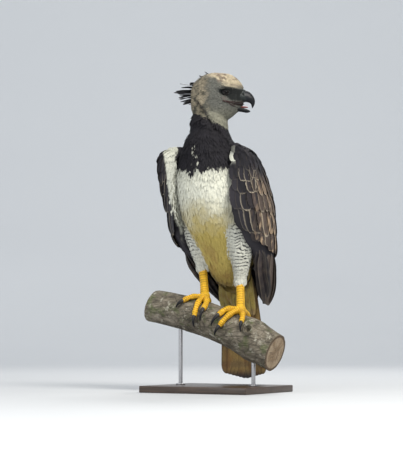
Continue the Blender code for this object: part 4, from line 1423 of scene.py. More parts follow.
@dataclass
class Hide:
    """The bird's skin: one closed body of trunk, neck, head and thighs under the feathers."""

    trunk_depth: float = 0.0080
    head_depth: float = 0.0042
    thigh_depth: float = 0.0060
    voxel: float = 0.0030

    def trunk(self) -> Piece:
        """Trunk and neck, inset by the depth of the coat.

        Returns:
            The closed body.
        """
        height = np.linspace(0.572, 0.056, 34)
        middle, half, front, back = spread(TRUNK_ROWS, height).T
        c, s = squared_ring(48, TRUNK_SQUARE)
        deep = np.where(s > 0, back[:, None], front[:, None]) - self.trunk_depth
        ring = np.stack(
            (
                (half[:, None] - self.trunk_depth) * c,
                middle[:, None] + deep * s,
                np.broadcast_to(height[:, None], deep.shape),
            ),
            axis=-1,
        )
        return wrapped_grid("skin_trunk", bird(ring), levels=0)

    def head(self) -> Piece:
        """Head without its bill, with brow, hollow eyes and lores.

        Returns:
            The closed body.
        """
        forward = np.linspace(-0.1065, 0.0495, 44)
        top, bottom, half = spread(HEAD_ROWS, forward).T
        depth = self.head_depth * (1 - 0.65 * smooth_step(0.0, 0.045, forward))
        c, s = squared_ring(56, HEAD_SQUARE)
        up = ((top + bottom) / 2)[:, None] + ((top - bottom) / 2 - depth)[:, None] * s
        wide = (half - depth)[:, None] * c
        wide = wide + brow(forward[:, None], up, c[None, :])
        ring = np.stack((wide, -np.broadcast_to(forward[:, None], up.shape), up), axis=-1)
        return wrapped_grid("skin_head", bird(from_head(ring)), levels=0)

    def thigh(self, side: Side) -> Piece:
        """One thigh down to the top of the bare shank.

        Args:
            side: The bird's side.

        Returns:
            The closed body.
        """
        rise = np.linspace(0.195, 0.002, 22)
        x, y, half, deep = spread(THIGH_ROWS, rise).T
        angle = np.linspace(0, 2 * math.pi, 32, endpoint=False)
        depth = self.thigh_depth * smooth_step(0.0, 0.03, rise) + 0.0015
        ring = np.stack(
            (
                side.value * x[:, None] + (half - depth)[:, None] * np.cos(angle),
                y[:, None] + (deep - depth)[:, None] * np.sin(angle),
                np.broadcast_to((SHANK_TOP[side.value] + rise)[:, None], (len(rise), len(angle))),
            ),
            axis=-1,
        )
        return wrapped_grid(f"skin_thigh_{side.word}", bird(ring), levels=0)

    def seat_eyes(self, obj: Piece) -> None:
        """Presses the skin in behind the eyes and raises the rims of their sockets.

        Args:
            obj: The skin.
        """
        local = head_places(obj)
        forward, up, side = -local[:, 1], local[:, 2], local[:, 0]
        near = (np.abs(forward) < 0.03) & (np.abs(up) < 0.03) & (np.abs(side) > 0.015)
        reach = np.hypot(forward + 0.0015, up * 1.12)
        push = 0.0085 * smooth_step(0.0105, 0.0070, reach)
        lift = 0.0016 * np.exp(-(((reach - 0.0125) / 0.0028) ** 2))
        ledge = np.exp(-(((up - 0.0140 + 0.10 * forward) / 0.0036) ** 2) - ((forward - 0.003) / 0.019) ** 4)
        side = side - np.sign(side) * np.where(near, push - lift - 0.0034 * ledge, 0.0)
        line = ruff_line(forward, up)
        cheek = smooth_step(-0.005, -0.030, up) * smooth_step(0.020, 0.032, np.abs(side))
        fold = 0.0034 * np.exp(-(((line - 0.010) / 0.0075) ** 2)) - 0.0042 * np.exp(-((line / 0.0055) ** 2))
        side = side + np.sign(side) * fold * cheek
        local[:, 0] = side
        set_coords(obj.data, bird(from_head(local)))

    def build(self) -> Piece:
        """Makes the skin, unwraps it and paints the markings on it.

        Returns:
            The skin.
        """
        parts = [self.trunk(), self.head(), self.thigh(Side.LEFT), self.thigh(Side.RIGHT)]
        obj = joined("skin", parts)
        apply_modifier(obj, "REMESH", mode="VOXEL", voxel_size=self.voxel, use_smooth_shade=True)
        apply_modifier(obj, "SMOOTH", factor=0.5, iterations=4)
        self.seat_eyes(obj)
        pick(obj)
        bpy.ops.object.mode_set(mode="EDIT")
        bpy.ops.mesh.select_all(action="SELECT")
        bpy.ops.uv.smart_project(angle_limit=math.radians(60), island_margin=0.004)
        bpy.ops.object.mode_set(mode="OBJECT")
        obj.data.uv_layers[0].name = "OFBake"
        places = foot_places(obj)
        # The skin takes the plumage's colours at three quarters of their brightness: painted shade under the
        # feathers
        paint(obj.data, "tint", marking(places) * 0.75)
        paint_level(obj.data, "bar", bar_mask(places))
        return obj


@dataclass
class Scatter:
    """Places on the skin where feathers root, with the skin's direction and unwrap there."""

    obj: Piece
    corners: Array = field(init=False)
    uvs: Array = field(init=False)
    normals: Array = field(init=False)
    areas: Array = field(init=False)

    def __post_init__(self) -> None:
        """Reads the skin's triangles once."""
        mesh = self.obj.data
        mesh.calc_loop_triangles()
        count = len(mesh.loop_triangles)
        index = np.empty(count * 3, dtype=np.int32)
        loops = np.empty(count * 3, dtype=np.int32)
        mesh.loop_triangles.foreach_get("vertices", index)
        mesh.loop_triangles.foreach_get("loops", loops)
        points = foot_places(self.obj)
        uv = np.empty(len(mesh.loops) * 2, dtype=np.float32)
        mesh.uv_layers["OFBake"].data.foreach_get("uv", uv)
        self.corners = points[index].reshape(-1, 3, 3)
        self.normals = point_normals(mesh)[index].reshape(-1, 3, 3)
        self.uvs = uv.reshape(-1, 2)[loops].reshape(-1, 3, 2).astype(float)
        cross = np.cross(self.corners[:, 1] - self.corners[:, 0], self.corners[:, 2] - self.corners[:, 0])
        self.areas = np.linalg.norm(cross, axis=1) / 2

    def roots(self, keep: Callable[[Array], Array], spacing: float, seed: int) -> tuple[Array, Array, Array]:
        """Evenly spread roots inside a region.

        Args:
            keep: Tells from places which of them are in the region.
            spacing: Distance between roots.
            seed: Number that picks the pattern.

        Returns:
            Places, directions and unwrap places of the roots.
        """
        draw = np.random.default_rng(seed)
        middle = self.corners.mean(axis=1)
        chosen = np.flatnonzero(keep(middle))
        area = self.areas[chosen]
        count = int(area.sum() / spacing**2 * 5) + 1
        tri = chosen[draw.choice(len(chosen), count, p=area / area.sum())]
        a, b = draw.random((2, count))
        flip = a + b > 1
        a[flip], b[flip] = 1 - a[flip], 1 - b[flip]
        weight = np.stack((1 - a - b, a, b), axis=-1)[:, :, None]
        points = (self.corners[tri] * weight).sum(axis=1)
        normals = unit((self.normals[tri] * weight).sum(axis=1))
        uv = (self.uvs[tri] * weight).sum(axis=1)
        kept = thin_out(points, spacing * 0.80)
        return points[kept], normals[kept], uv[kept]


def thin_out(points: Array, gap: float) -> Array:
    """Indexes of places that are at least a gap apart, taken in their order.

    Args:
        points: The places.
        gap: Least distance.

    Returns:
        Indexes of the kept ones.
    """
    cells: dict[tuple[int, int, int], list[int]] = {}
    key = np.floor(points / gap).astype(int)
    limit = gap * gap
    kept = []
    rows = points.tolist()
    steps = [(i, j, k) for i in (-1, 0, 1) for j in (-1, 0, 1) for k in (-1, 0, 1)]
    for n, (i, j, k) in enumerate(key.tolist()):
        x, y, z = rows[n]
        clear = True
        for di, dj, dk in steps:
            for m in cells.get((i + di, j + dj, k + dk), ()):
                p = rows[m]
                if (p[0] - x) ** 2 + (p[1] - y) ** 2 + (p[2] - z) ** 2 < limit:
                    clear = False
                    break
            if not clear:
                break
        if clear:
            kept.append(n)
            cells.setdefault((i, j, k), []).append(n)
    return np.array(kept, dtype=int)


@dataclass(frozen=True)
class Tuft:
    """Shape of one kind of small feather, made of a few narrow overlapping blades."""

    length: float
    width: float
    blades: int = 3
    rows: int = 4
    columns: int = 2
    lift: float = 0.34
    curl: float = 0.12
    splay: float = 0.32
    blunt: float = 0.55
    wild: float = 0.14
    shadow: float = 0.45
    vary: float = 0.20
    sink: float = 0.0012

    def grow(
        self, sheaf: Sheaf, roots: Array, normals: Array, uvs: Array, way: Array, tint: Array, seed: int,
        tip: Array | None = None,
    ) -> None:
        """Adds a feather at each root.

        Args:
            sheaf: Mesh that the feathers go into.
            roots: Places of the roots.
            normals: Outward directions there.
            uvs: Places on the unwrap.
            way: Directions in which the feathers lie.
            tint: Colour of each feather.
            seed: Number that picks their small differences.
            tip: Colour at the feathers' ends, where it differs.
        """
        draw = np.random.default_rng(seed)
        count = len(roots)
        side = unit(np.cross(way, normals))
        along = np.linspace(0, 1, self.rows + 1)
        profile = np.minimum(1.0, 0.40 + 2.2 * along)
        fade = np.clip((along - self.blunt) / (1 - self.blunt), 0, 1)
        profile = profile * np.sqrt(np.clip(1 - fade**2.2, 0, 1)) + 0.05
        across = np.linspace(-0.5, 0.5, self.columns + 1)
        light = 1.0 + self.vary * (draw.random(count) - 0.5)
        for blade in range(self.blades):
            spot = 0.0 if self.blades == 1 else blade / (self.blades - 1) * 2 - 1
            turn = spot * self.splay + draw.normal(0, self.wild, count)
            ahead = way * np.cos(turn)[:, None] + side * np.sin(turn)[:, None]
            flank = side * np.cos(turn)[:, None] - way * np.sin(turn)[:, None]
            length = self.length * (1 - 0.18 * abs(spot)) * draw.uniform(0.82, 1.12, count)
            lift = self.lift + draw.normal(0, 0.07, count) - 0.05 * abs(spot)
            wide = self.width / max(1.0, self.blades * 0.62) * draw.uniform(0.85, 1.15, count)
            rise = lift[:, None] * along - self.curl * along**2
            base = roots + side * (spot * self.width * 0.16)
            line = (
                base[:, None]
                + ahead[:, None] * (length[:, None] * along)[..., None]
                + normals[:, None] * (length[:, None] * rise - self.sink)[..., None]
            )
            half = (wide[:, None] * profile)[..., None] * across
            arch = (1 - (2 * across) ** 2) * 0.16
            grid = (
                line[:, :, None]
                + flank[:, None, None] * half[..., None]
                + normals[:, None, None] * (wide[:, None, None] * profile[None, :, None] * arch)[..., None]
            )
            lean = normals[:, None, None] + flank[:, None, None] * (across * 0.9)[None, None, :, None]
            lean = lean - ahead[:, None, None] * 0.18
            lean = np.broadcast_to(lean, grid.shape) + draw.normal(0, 0.06, (count, 1, 1, 3))
            shade = (1 - self.shadow) + self.shadow * along**0.7
            tone = tint[:, None, :] * (shade[None, :, None] * light[:, None, None])
            if tip is not None:
                end = smooth_step(0.62, 0.86, along)[None, :, None]
                tone = tone * (1 - end) + tip[:, None, :] * end
            colour = np.broadcast_to(tone[:, :, None], (*grid.shape[:3], 3))
            sheaf.add(bird(grid), colour, uvs, lean)


@dataclass(frozen=True)
class Patch:
    """One region of the coat: where it is, how dense and with which feathers."""

    name: str
    slot: str
    tuft: Tuft
    spacing: float
    keep: Callable[[Array], Array]
    finish: PlumageFinish
    seed: int
    edge: float = 0.0


class Region:
    """Tests for the regions of the coat, on places from the level of the feet."""

    @staticmethod
    def bare(points: Array) -> Array:
        """Eyes, bill and the corner of the mouth, which carry no feathers.

        Args:
            points: Places measured from the level of the feet.

        Returns:
            True at each place inside.
        """
        local = to_head(points)
        forward, up, side = -local[:, 1], local[:, 2], np.abs(local[:, 0])
        eye = np.hypot(forward + 0.0015, up * 1.1) < 0.0125
        eye = eye & (side > 0.015)
        bill = (forward > 0.0335) & (up > -0.045) & (up < 0.016)
        mouth = (forward > 0.004) & (np.abs(up + 0.0275) < 0.0038) & (side > 0.008)
        return eye | bill | mouth

    @staticmethod
    def face(points: Array) -> Array:
        """Face in front of the ears, down to the chin.

        Args:
            points: Places measured from the level of the feet.

        Returns:
            True at each place inside.
        """
        local = to_head(points)
        near = np.linalg.norm((local - np.array((0, -0.040, -0.010))) * np.array((1, 1, 0.9)), axis=1) < 0.062
        return near & (head_height(points) > 0.0) & ~Region.bare(points)

    @staticmethod
    def crown(points: Array) -> Array:
        """Forehead, crown and upper nape."""
        high = to_head(points)[:, 2] > 0.020
        return high & (head_height(points) > 0.0) & ~Region.face(points) & ~Region.bare(points)

    @staticmethod
    def hood(points: Array) -> Array:
        """Cheeks and nape down to the edge of the hood.

        Args:
            points: Places measured from the level of the feet.

        Returns:
            True at each place inside.
        """
        high = to_head(points)[:, 2] > 0.020
        low = (head_height(points) > -0.006) & ~high
        return low & ~Region.face(points) & ~Region.bare(points)

    @staticmethod
    def neck(points: Array) -> Array:
        """Black neck between the hood and the shoulders."""
        return (head_height(points) <= 0.004) & (points[:, 2] > 0.452)

    @staticmethod
    def leg_reach(points: Array) -> Array:
        """One well inside the thighs' own round form and zero outside it.

        Args:
            points: Places measured from the level of the feet.

        Returns:
            One share for each place.
        """
        x, y, z = points.T
        sign = np.where(x > 0, 1.0, -1.0)
        top = np.where(x > 0, SHANK_TOP[1], SHANK_TOP[-1])
        middle_x, middle_y, half, deep = spread(THIGH_ROWS, z - top).T
        reach = np.hypot((x - sign * middle_x) / half, (y - middle_y) / deep)
        return smooth_step(1.16, 1.04, reach) * (z > top - 0.010)

    @staticmethod
    def leg(points: Array) -> Array:
        """Feathered thighs where they stand out from the belly."""
        return (Region.leg_reach(points) > 0.5) & (points[:, 2] < 0.255)

    @staticmethod
    def back(points: Array) -> Array:
        """Back and rump behind the wings' front edges."""
        middle = spread(TRUNK_ROWS, points[:, 2])[:, 0]
        return points[:, 1] > middle + 0.030

    @staticmethod
    def breast(points: Array) -> Array:
        """Front of the trunk from the shoulders to the lower edge of the black band."""
        return (points[:, 2] <= 0.460) & (points[:, 2] > 0.372) & ~Region.back(points)

    @staticmethod
    def belly(points: Array) -> Array:
        """White and yellow front below the black band."""
        low = (points[:, 2] <= 0.380) & (points[:, 2] > 0.060)
        return low & ~Region.back(points) & ~Region.leg(points)

    @staticmethod
    def mantle(points: Array) -> Array:
        """Back from the shoulders to the rump."""
        return (points[:, 2] <= 0.475) & (points[:, 2] > 0.060) & Region.back(points)

@dataclass(frozen=True)
class Tier:
    """One row of a folded wing's feathers, tip heights given at the front and at the rear."""

    name: str
    count: int
    shares: tuple[float, float]
    root: float
    tips: tuple[float, float]
    width: float
    rise: float


@dataclass
class Wing:
    """A folded wing: its dark body and tiers of single feathers over it."""

    side: Side
    finish: PlumageFinish
    seed: int
    rows: int = 16
    columns: int = 8
    inset: float = 0.0045
    unwrap_cells: int = 11
    tiers: tuple[Tier, ...] = (
        Tier("primary", 11, (0.10, 0.86), 0.150, (0.030, -0.014), 0.043, 0.0),
        Tier("secondary", 13, (0.26, 0.98), 0.225, (0.176, 0.102), 0.042, 0.0006),
        Tier("greater", 13, (0.06, 0.97), 0.292, (0.205, 0.180), 0.040, 0.0010),
        Tier("median", 14, (0.05, 0.96), 0.346, (0.270, 0.248), 0.036, 0.0013),
        Tier("median", 14, (0.08, 0.95), 0.382, (0.318, 0.300), 0.033, 0.0016),
        Tier("lesser", 14, (0.05, 0.94), 0.410, (0.356, 0.342), 0.030, 0.0019),
        Tier("lesser", 14, (0.09, 0.95), 0.432, (0.386, 0.374), 0.028, 0.0022),
        Tier("lesser", 13, (0.05, 0.93), 0.450, (0.412, 0.402), 0.026, 0.0025),
        Tier("lesser", 12, (0.09, 0.92), 0.462, (0.434, 0.426), 0.024, 0.0028),
    )

    def faces(self, height: Array, count: int, inset: float) -> tuple[Array, Array]:
        """Outer and inner face of the wing's body.

        Args:
            height: Heights of their rows.
            count: Points in each row.
            inset: How far the outer face lies inside the feathers' outer line.

        Returns:
            Places of both faces, as row, point and axis.
        """
        (depth,) = spread(WING_DEPTH, height).T
        shares = np.linspace(0, 1, count)
        outer = wing_point(shares[None, :], height[:, None], self.side.value)
        heart = (outer[:, :1] + outer[:, -1:]) / 2
        outer = outer + unit(heart - outer) * inset
        chord = outer[:, :1] + (outer[:, -1:] - outer[:, :1]) * shares[None, :, None]
        return outer, outer + (chord - outer) * depth[:, None, None]

    def body(self, sheaf: Sheaf) -> None:
        """Adds the closed body of the wing under its feathers.

        Args:
            sheaf: Mesh that it goes into.
        """
        outer, inner = self.faces(np.linspace(0.464, -0.006, 40), 19, self.inset)
        ring = np.concatenate((outer, inner[:, ::-1]), axis=1)
        ring = np.concatenate((ring, ring[:, :1]), axis=1)
        if self.side is Side.RIGHT:
            ring = ring[:, ::-1]
        middle = ring.mean(axis=1, keepdims=True)
        ring = np.concatenate((middle[:1] + 0 * ring[:1], ring, middle[-1:] + 0 * ring[-1:]), axis=0)
        tint = np.broadcast_to(Shade.SLATE * 0.8, ring.shape)
        if self.side is Side.RIGHT:
            tint = blend(tint, Shade.WHITE * 0.9, leading_band(ring))
        out = unit(ring - ring.mean(axis=1, keepdims=True) + 1e-6)
        sheaf.add_single(bird(ring), tint, out, self.unwrap_cells)

    def front_edge(self, finish: PlumageFinish) -> None:
        """Covers the pale leading edge with small soft feathers.

        Args:
            finish: Maker of their material.
        """
        height = np.linspace(0.236, 0.462, 76)
        outer, inner = self.faces(height, 61, 0.0)
        both = np.concatenate((outer[:, ::-1], inner[:, 1:]), axis=1)
        draw = np.random.default_rng(self.seed + 7)
        both = both + draw.normal(0, 0.0012, both.shape)
        across, up = np.meshgrid(np.linspace(0.02, 0.98, both.shape[1]), np.linspace(0.02, 0.98, len(height)))
        uvs = np.stack((across, up), axis=-1)
        front = unit(np.array((self.side.value * 0.30, -1.0, 0.10)))
        keep = (leading_band(both) > 0.55) & (draw.random(across.shape) < 0.55)
        roots = both[keep]
        way = np.broadcast_to(unit(np.array((-self.side.value * 0.05, 0.05, -1.0))), roots.shape)
        normals = np.broadcast_to(front, roots.shape)
        tint = np.broadcast_to(Shade.WHITE, roots.shape)
        sheaf = Sheaf()
        tuft = Tuft(0.0190, 0.0100, 2, 4, 2, lift=0.14, shadow=0.10, vary=0.10)
        tuft.grow(sheaf, roots, normals, uvs[keep], way, tint, self.seed)
        dress(sheaf.build(f"coat_wing_edge_{self.side.word}", finish.make()))

    def colour(
        self, tier: Tier, share: float, across: Array, along: Array, places: Array, draw: Random
    ) -> Array:
        """Colour over one feather.

        Args:
            tier: The feather's row.
            share: Its place round the wing, 0 at the front edge.
            across: Places across it, from -1 to 1.
            along: Places along it, from 0 to 1.
            places: Places of its points.
            draw: Source of small differences.

        Returns:
            One colour for each point.
        """
        edge = np.abs(across)
        height = places[..., 2]
        brown = float(smooth_step(0.24, 0.40, share)) * (1.0 if tier.name != "primary" else 0.25)
        brown = brown * smooth_step(0.392, 0.325, height + draw.uniform(-0.015, 0.015))
        base = blend(Shade.SLATE * 0.75, Shade.BROWN, brown)
        base = base * draw.uniform(0.65, 1.30)
        stretched = places.reshape(-1, 3) * np.array((1.0, 1.0, 0.42))
        streak = grain(stretched, 0.0065, self.seed).reshape(edge.shape)
        tan = brown * smooth_step(0.15, 0.75, streak * 1.1 + 0.45 * edge + draw.uniform(-0.40, 0.30))
        base = blend(base, Shade.TAN, tan * (0.85 if tier.name in ("secondary", "greater") else 0.45))
        rim = smooth_step(0.78, 0.95, np.maximum(edge, (along - 0.70) / 0.28 * 0.98))
        scallop = float(smooth_step(0.10, 0.22, share) * (1.0 - 0.6 * smooth_step(0.40, 0.55, share)))
        pale = rim * (0.06 + 0.85 * scallop) * smooth_step(0.40, 0.35, height) * (draw.random() < 0.65)
        if tier.name == "primary":
            pale = rim * 0.22
            base = blend(base, Shade.BROWN * 1.15, 0.75 * float(smooth_step(0.25, 0.45, share)))
            bars = smooth_step(0.2, 0.8, np.sin(along * 30.0 + edge * 1.2)) * 0.35
            base = blend(base, Shade.BROWN * 1.6, bars * smooth_step(1.0, 0.3, along))
        base = blend(base, Shade.EDGE, pale * draw.uniform(0.4, 1.0))
        ribbed = smooth_step(0.06, 0.02, edge)
        base = base * (1 - 0.45 * ribbed)[..., None]
        if self.side is Side.LEFT:
            front = float(smooth_step(0.11, 0.06, share)) * smooth_step(0.395, 0.408, height)
            base = blend(base, Shade.WHITE, front * smooth_step(0.466, 0.455, height))
        return np.clip(base, 0.004, 0.9)

    def feather(self, sheaf: Sheaf, tier: Tier, share: float, tip: float, draw: Random) -> None:
        """Adds one feather that lies on the wing and stands a little proud at its tip.

        Args:
            sheaf: Mesh that it goes into.
            tier: Its row.
            share: Its place round the wing, 0 at the front edge.
            tip: Height of its tip.
            draw: Source of small differences.
        """
        along = 1 - (1 - np.linspace(0, 1, self.rows + 1)) ** 1.5
        across = np.linspace(-1, 1, self.columns + 1)
        height = tier.root + (tip - tier.root) * along
        drift = 0.10 * (0.5 - share) if tier.name == "primary" else -0.02
        centre = share + drift * along
        out, rear = wing_frame(centre, height, self.side.value)
        blunt = 0.74 if tier.name == "secondary" else 0.62
        fade = np.clip((along - blunt) / (1 - blunt), 0, 1)
        profile = np.minimum(1.0, 0.45 + 2.4 * along) * np.sqrt(np.clip(1 - fade**2.3, 0, 1)) + 0.02
        rise = -0.0075 + (0.0008 + tier.rise + 0.0075) * (1 - (1 - along) ** 2)
        rise = rise + draw.uniform(-0.0004, 0.0004)
        middle = wing_point(centre, height, self.side.value) + out * rise[:, None]
        half = (tier.width / 2 * profile)[:, None] * across
        arch = (1 - across**2)[None, :] * (tier.width * 0.045) * profile[:, None]
        tilt = -across[None, :] * (tier.width * 0.045) * profile[:, None]
        split = np.where(np.abs(across) > 0.9, 1, 0)[None, :] * draw.normal(0, 0.0007, (len(along), 1))
        grid = (
            middle[:, None]
            + rear[:, None] * (half + split)[..., None]
            + out[:, None] * (arch + tilt)[..., None]
        )
        grid[-1, :, 2] += draw.normal(0, 0.0009, len(across)) + 0.0035 * across**2
        wide, long = np.meshgrid(across, along)
        tint = self.colour(tier, share, wide, long, grid, draw)
        if self.side is Side.RIGHT:
            tint = blend(tint, Shade.WHITE * 0.95, leading_band(grid))
        lean = out[:, None] + rear[:, None] * (across * 0.35)[None, :, None]
        sheaf.add_single(bird(grid), tint, np.broadcast_to(lean, grid.shape), self.unwrap_cells)

    def build(self) -> Piece:
        """Makes the wing.

        Returns:
            The finished piece.
        """
        draw = np.random.default_rng(self.seed)
        sheaf = Sheaf()
        self.body(sheaf)
        for tier in self.tiers:
            for i in range(tier.count):
                part = i / (tier.count - 1)
                share = tier.shares[0] + (tier.shares[1] - tier.shares[0]) * part
                share = min(tier.shares[1], max(tier.shares[0], share + draw.uniform(-0.012, 0.012)))
                tip = tier.tips[0] + (tier.tips[1] - tier.tips[0]) * part + draw.uniform(-0.007, 0.007)
                if tier.name == "primary":
                    tip = 0.030 - 0.042 * math.sin(math.pi * (0.15 + 0.62 * part))
                self.feather(sheaf, tier, share, tip, draw)
        obj = sheaf.build(f"feathers_wing_{self.side.word}", self.finish.make())
        return dress(obj, [f"wing_{self.side.word}"])


@dataclass
class Tail:
    """Twelve long tail feathers, each with its own upper and lower face, and their coverts."""

    finish: PlumageFinish
    seed: int = 77
    rows: int = 30
    columns: int = 8
    unwrap_cells: int = 8

    def frame(self) -> tuple[Array, Array, Array]:
        """Directions along, across and out of the back of the tail.

        Returns:
            The three directions, with length one.
        """
        along = unit(TAIL_TIP - TAIL_ROOT)
        across = np.array((1.0, 0.0, 0.0))
        back = np.cross(along, across)
        return along, across, back if back[1] > 0 else -back

    def vane(self, sheaf: Sheaf, place: float, layer: float, shift: float, length: float, width: float,
             fan: float, bow: float, blunt: float, under: bool, draw: Random) -> None:
        """Adds one face of a tail feather or covert, with its place counted from the middle.

        Args:
            sheaf: Mesh that it goes into.
            place: Its place across the tail.
            layer: Distance of its root out of the back.
            shift: Distance of its root along the tail.
            length: Its length.
            width: Its width.
            fan: How far it runs outwards for each place.
            bow: How far its middle stands out of the back.
            blunt: Share of the length where the tip's curve starts.
            under: True for a lower face.
            draw: Source of small differences.
        """
        along, across, back = self.frame()
        part = 1 - (1 - np.linspace(0, 1, self.rows + 1)) ** 1.7
        wide = np.linspace(-1, 1, self.columns + 1)
        fade = np.clip((part - blunt) / (1 - blunt), 0, 1)
        profile = np.minimum(1.0, 0.45 + 2.4 * part) * np.sqrt(np.clip(1 - fade**2.2, 0, 1)) + 0.03
        root = TAIL_ROOT + along * shift + across * (place * 0.0072) + back * layer
        line = root + along * (length * part)[:, None] + across * (place * fan * part**1.1)[:, None]
        line = line + back * (bow * np.sin(math.pi * part))[:, None]
        flank = unit(across - back * (0.10 * np.sign(place)))
        grid = line[:, None] + flank * ((width / 2 * profile)[:, None] * wide)[..., None]
        grid = grid + back * ((1 - wide**2) * 0.0012 * (-1 if under else 1))[None, :, None]
        grid[-1] -= along * (0.003 * wide**2)[:, None]
        across_at, part_at = np.meshgrid(wide, part)
        edge = np.abs(across_at)
        reach = shift + length * part_at
        bars = smooth_step(0.25, 0.75, np.sin(reach * 2 * math.pi / 0.062 + 0.9 * edge))
        if under:
            base = blend(np.array((0.27, 0.18, 0.065)), Shade.BROWN * 0.9, bars * 0.45)
            warm = grain(grid.reshape(-1, 3), 0.020, self.seed).reshape(edge.shape)
            base = blend(base, Shade.RUST, smooth_step(-0.1, 0.6, warm) * 0.45)
            base = blend(base, Shade.SLATE, smooth_step(0.330, 0.362, reach) * 0.95)
            base = blend(base, Shade.SLATE * 1.2, smooth_step(0.82, 0.98, edge) * 0.6)
        else:
            base = blend(Shade.SLATE * 0.8, np.array((0.20, 0.185, 0.165)), bars * 0.8)
            base = blend(base, Shade.EDGE, smooth_step(0.372, 0.380, reach) * 0.7)
        if width > 0.039:
            base = base * 0 + (Shade.YELLOW * 0.80 if under else Shade.SLATE)
            warm = grain(grid.reshape(-1, 3), 0.016, self.seed).reshape(edge.shape)
            base = blend(base, Shade.RUST, smooth_step(-0.1, 0.6, warm) * (0.50 if under else 0.0))
            rim = smooth_step(0.80, 0.97, np.maximum(edge, part_at))
            base = blend(base, Shade.EDGE, rim * (0.2 if under else 0.10))
        base = base * draw.uniform(0.88, 1.14)
        base = base * (1 - 0.45 * smooth_step(0.05, 0.02, edge))[..., None]
        lean = (-back if under else back) + flank * (wide * 0.3)[None, :, None]
        sheaf.add_single(bird(grid), base, np.broadcast_to(lean, grid.shape), self.unwrap_cells)

    def build(self) -> Piece:
        """Makes the tail.

        Returns:
            The finished piece.
        """
        draw = np.random.default_rng(self.seed)
        sheaf = Sheaf()
        length = float(np.linalg.norm(TAIL_TIP - TAIL_ROOT))
        for i in range(12):
            place = i - 5.5
            rank = abs(place) - 0.5
            layer = 0.0045 - 0.0016 * rank - 0.0008 * (place > 0)
            for under in (False, True):
                self.vane(sheaf, place, layer - 0.0007 * under, 0.020, length - 0.020 - 0.003 * rank, 0.038,
                          0.0040, 0.006, 0.90, under, draw)
        for under, sign, reaches in ((True, -1, (0.150, 0.118, 0.084)), (False, 1, (0.120, 0.094, 0.062))):
            for row, reach in enumerate(reaches):
                for i in range(6 - row):
                    place = 1.9 * (i - (5 - row) / 2) + 0.01
                    layer = sign * (0.0090 + 0.0022 * row + 0.0007 * (i % 2))
                    self.vane(sheaf, place, layer, 0.014, reach * draw.uniform(0.92, 1.05), 0.040, 0.0030,
                              sign * 0.006, 0.50, under, draw)
        return dress(sheaf.build("feathers_tail", self.finish.make()), ["tail"])


@dataclass
class Crest:
    """The dark crest, half raised: long narrow feathers fanned from nape and crown."""

    finish: PlumageFinish
    seed: int = 15
    unwrap_cells: int = 7
    rows_of: tuple[tuple[int, float, float, float, float, float], ...] = (
        (4, -0.090, 0.028, 0.062, 0.015, 0.16),
        (7, -0.094, 0.017, 0.080, 0.017, 0.07),
        (6, -0.097, 0.004, 0.066, 0.017, -0.04),
        (5, -0.099, -0.006, 0.044, 0.017, -0.16),
        (5, -0.094, 0.037, 0.028, 0.017, 0.25),
        (5, -0.070, 0.055, 0.025, 0.015, 0.42),
        (4, -0.052, 0.063, 0.026, 0.011, 0.66),
        (4, -0.028, 0.064, 0.020, 0.010, 0.55),
    )

    def build(self) -> Piece:
        """Makes the crest.

        Returns:
            The finished piece.
        """
        draw = np.random.default_rng(self.seed)
        sheaf = Sheaf()
        part = np.linspace(0, 1, 13)
        wide = np.linspace(-1, 1, 5)
        for count, forward, up, length, width, rise in self.rows_of:
            for i in range(count):
                place = i - (count - 1) / 2
                fan = place / (count / 2)
                high = up - 0.014 * fan * fan + draw.uniform(-0.004, 0.004)
                root = np.array((0.0072 * place, -forward, high))
                root = root - np.array((0, 0.006, 0.003))
                heading = unit(np.array((0.36 * fan, 1.0, rise + draw.uniform(-0.12, 0.12))))
                flank = unit(np.array((1.0, -0.36 * fan, 0.25 * fan + draw.uniform(-0.3, 0.3))))
                lift = unit(np.cross(flank, heading))
                reach = length * (1 - 0.22 * fan * fan) * draw.uniform(0.78, 1.06)
                droop = draw.uniform(0.04, 0.16)
                line = root + heading * (reach * part)[:, None]
                line[:, 2] -= droop * reach * part**2
                fade = np.clip((part - 0.45) / 0.55, 0, 1)
                profile = np.minimum(1.0, 0.35 + 1.6 * part) * np.sqrt(np.clip(1 - fade**2, 0, 1))
                grid = line[:, None] + flank * ((width / 2 * (profile + 0.04))[:, None] * wide)[..., None]
                grid = grid - lift * ((wide**2) * width * 0.10)[None, :, None]
                shape = np.broadcast_to(wide, grid.shape[:2])
                pale = smooth_step(0.35, 0.0, part)[:, None] * 0.35 * np.ones_like(shape)
                tint = blend(Shade.BLACK * 1.2, Shade.GREY, pale)
                rim = smooth_step(0.6, 1.0, np.abs(shape)) * 0.10
                rim = rim + smooth_step(0.9, 1.0, part)[:, None] * 0.15
                tint = blend(tint, Shade.GREY, rim)
                lean = np.broadcast_to(lift + flank * (wide * 0.4)[None, :, None], grid.shape)
                sheaf.add_single(bird(from_head(grid)), tint, from_head(lean) - HEAD_AT, self.unwrap_cells)
        return dress(sheaf.build("feathers_crest", self.finish.make()))


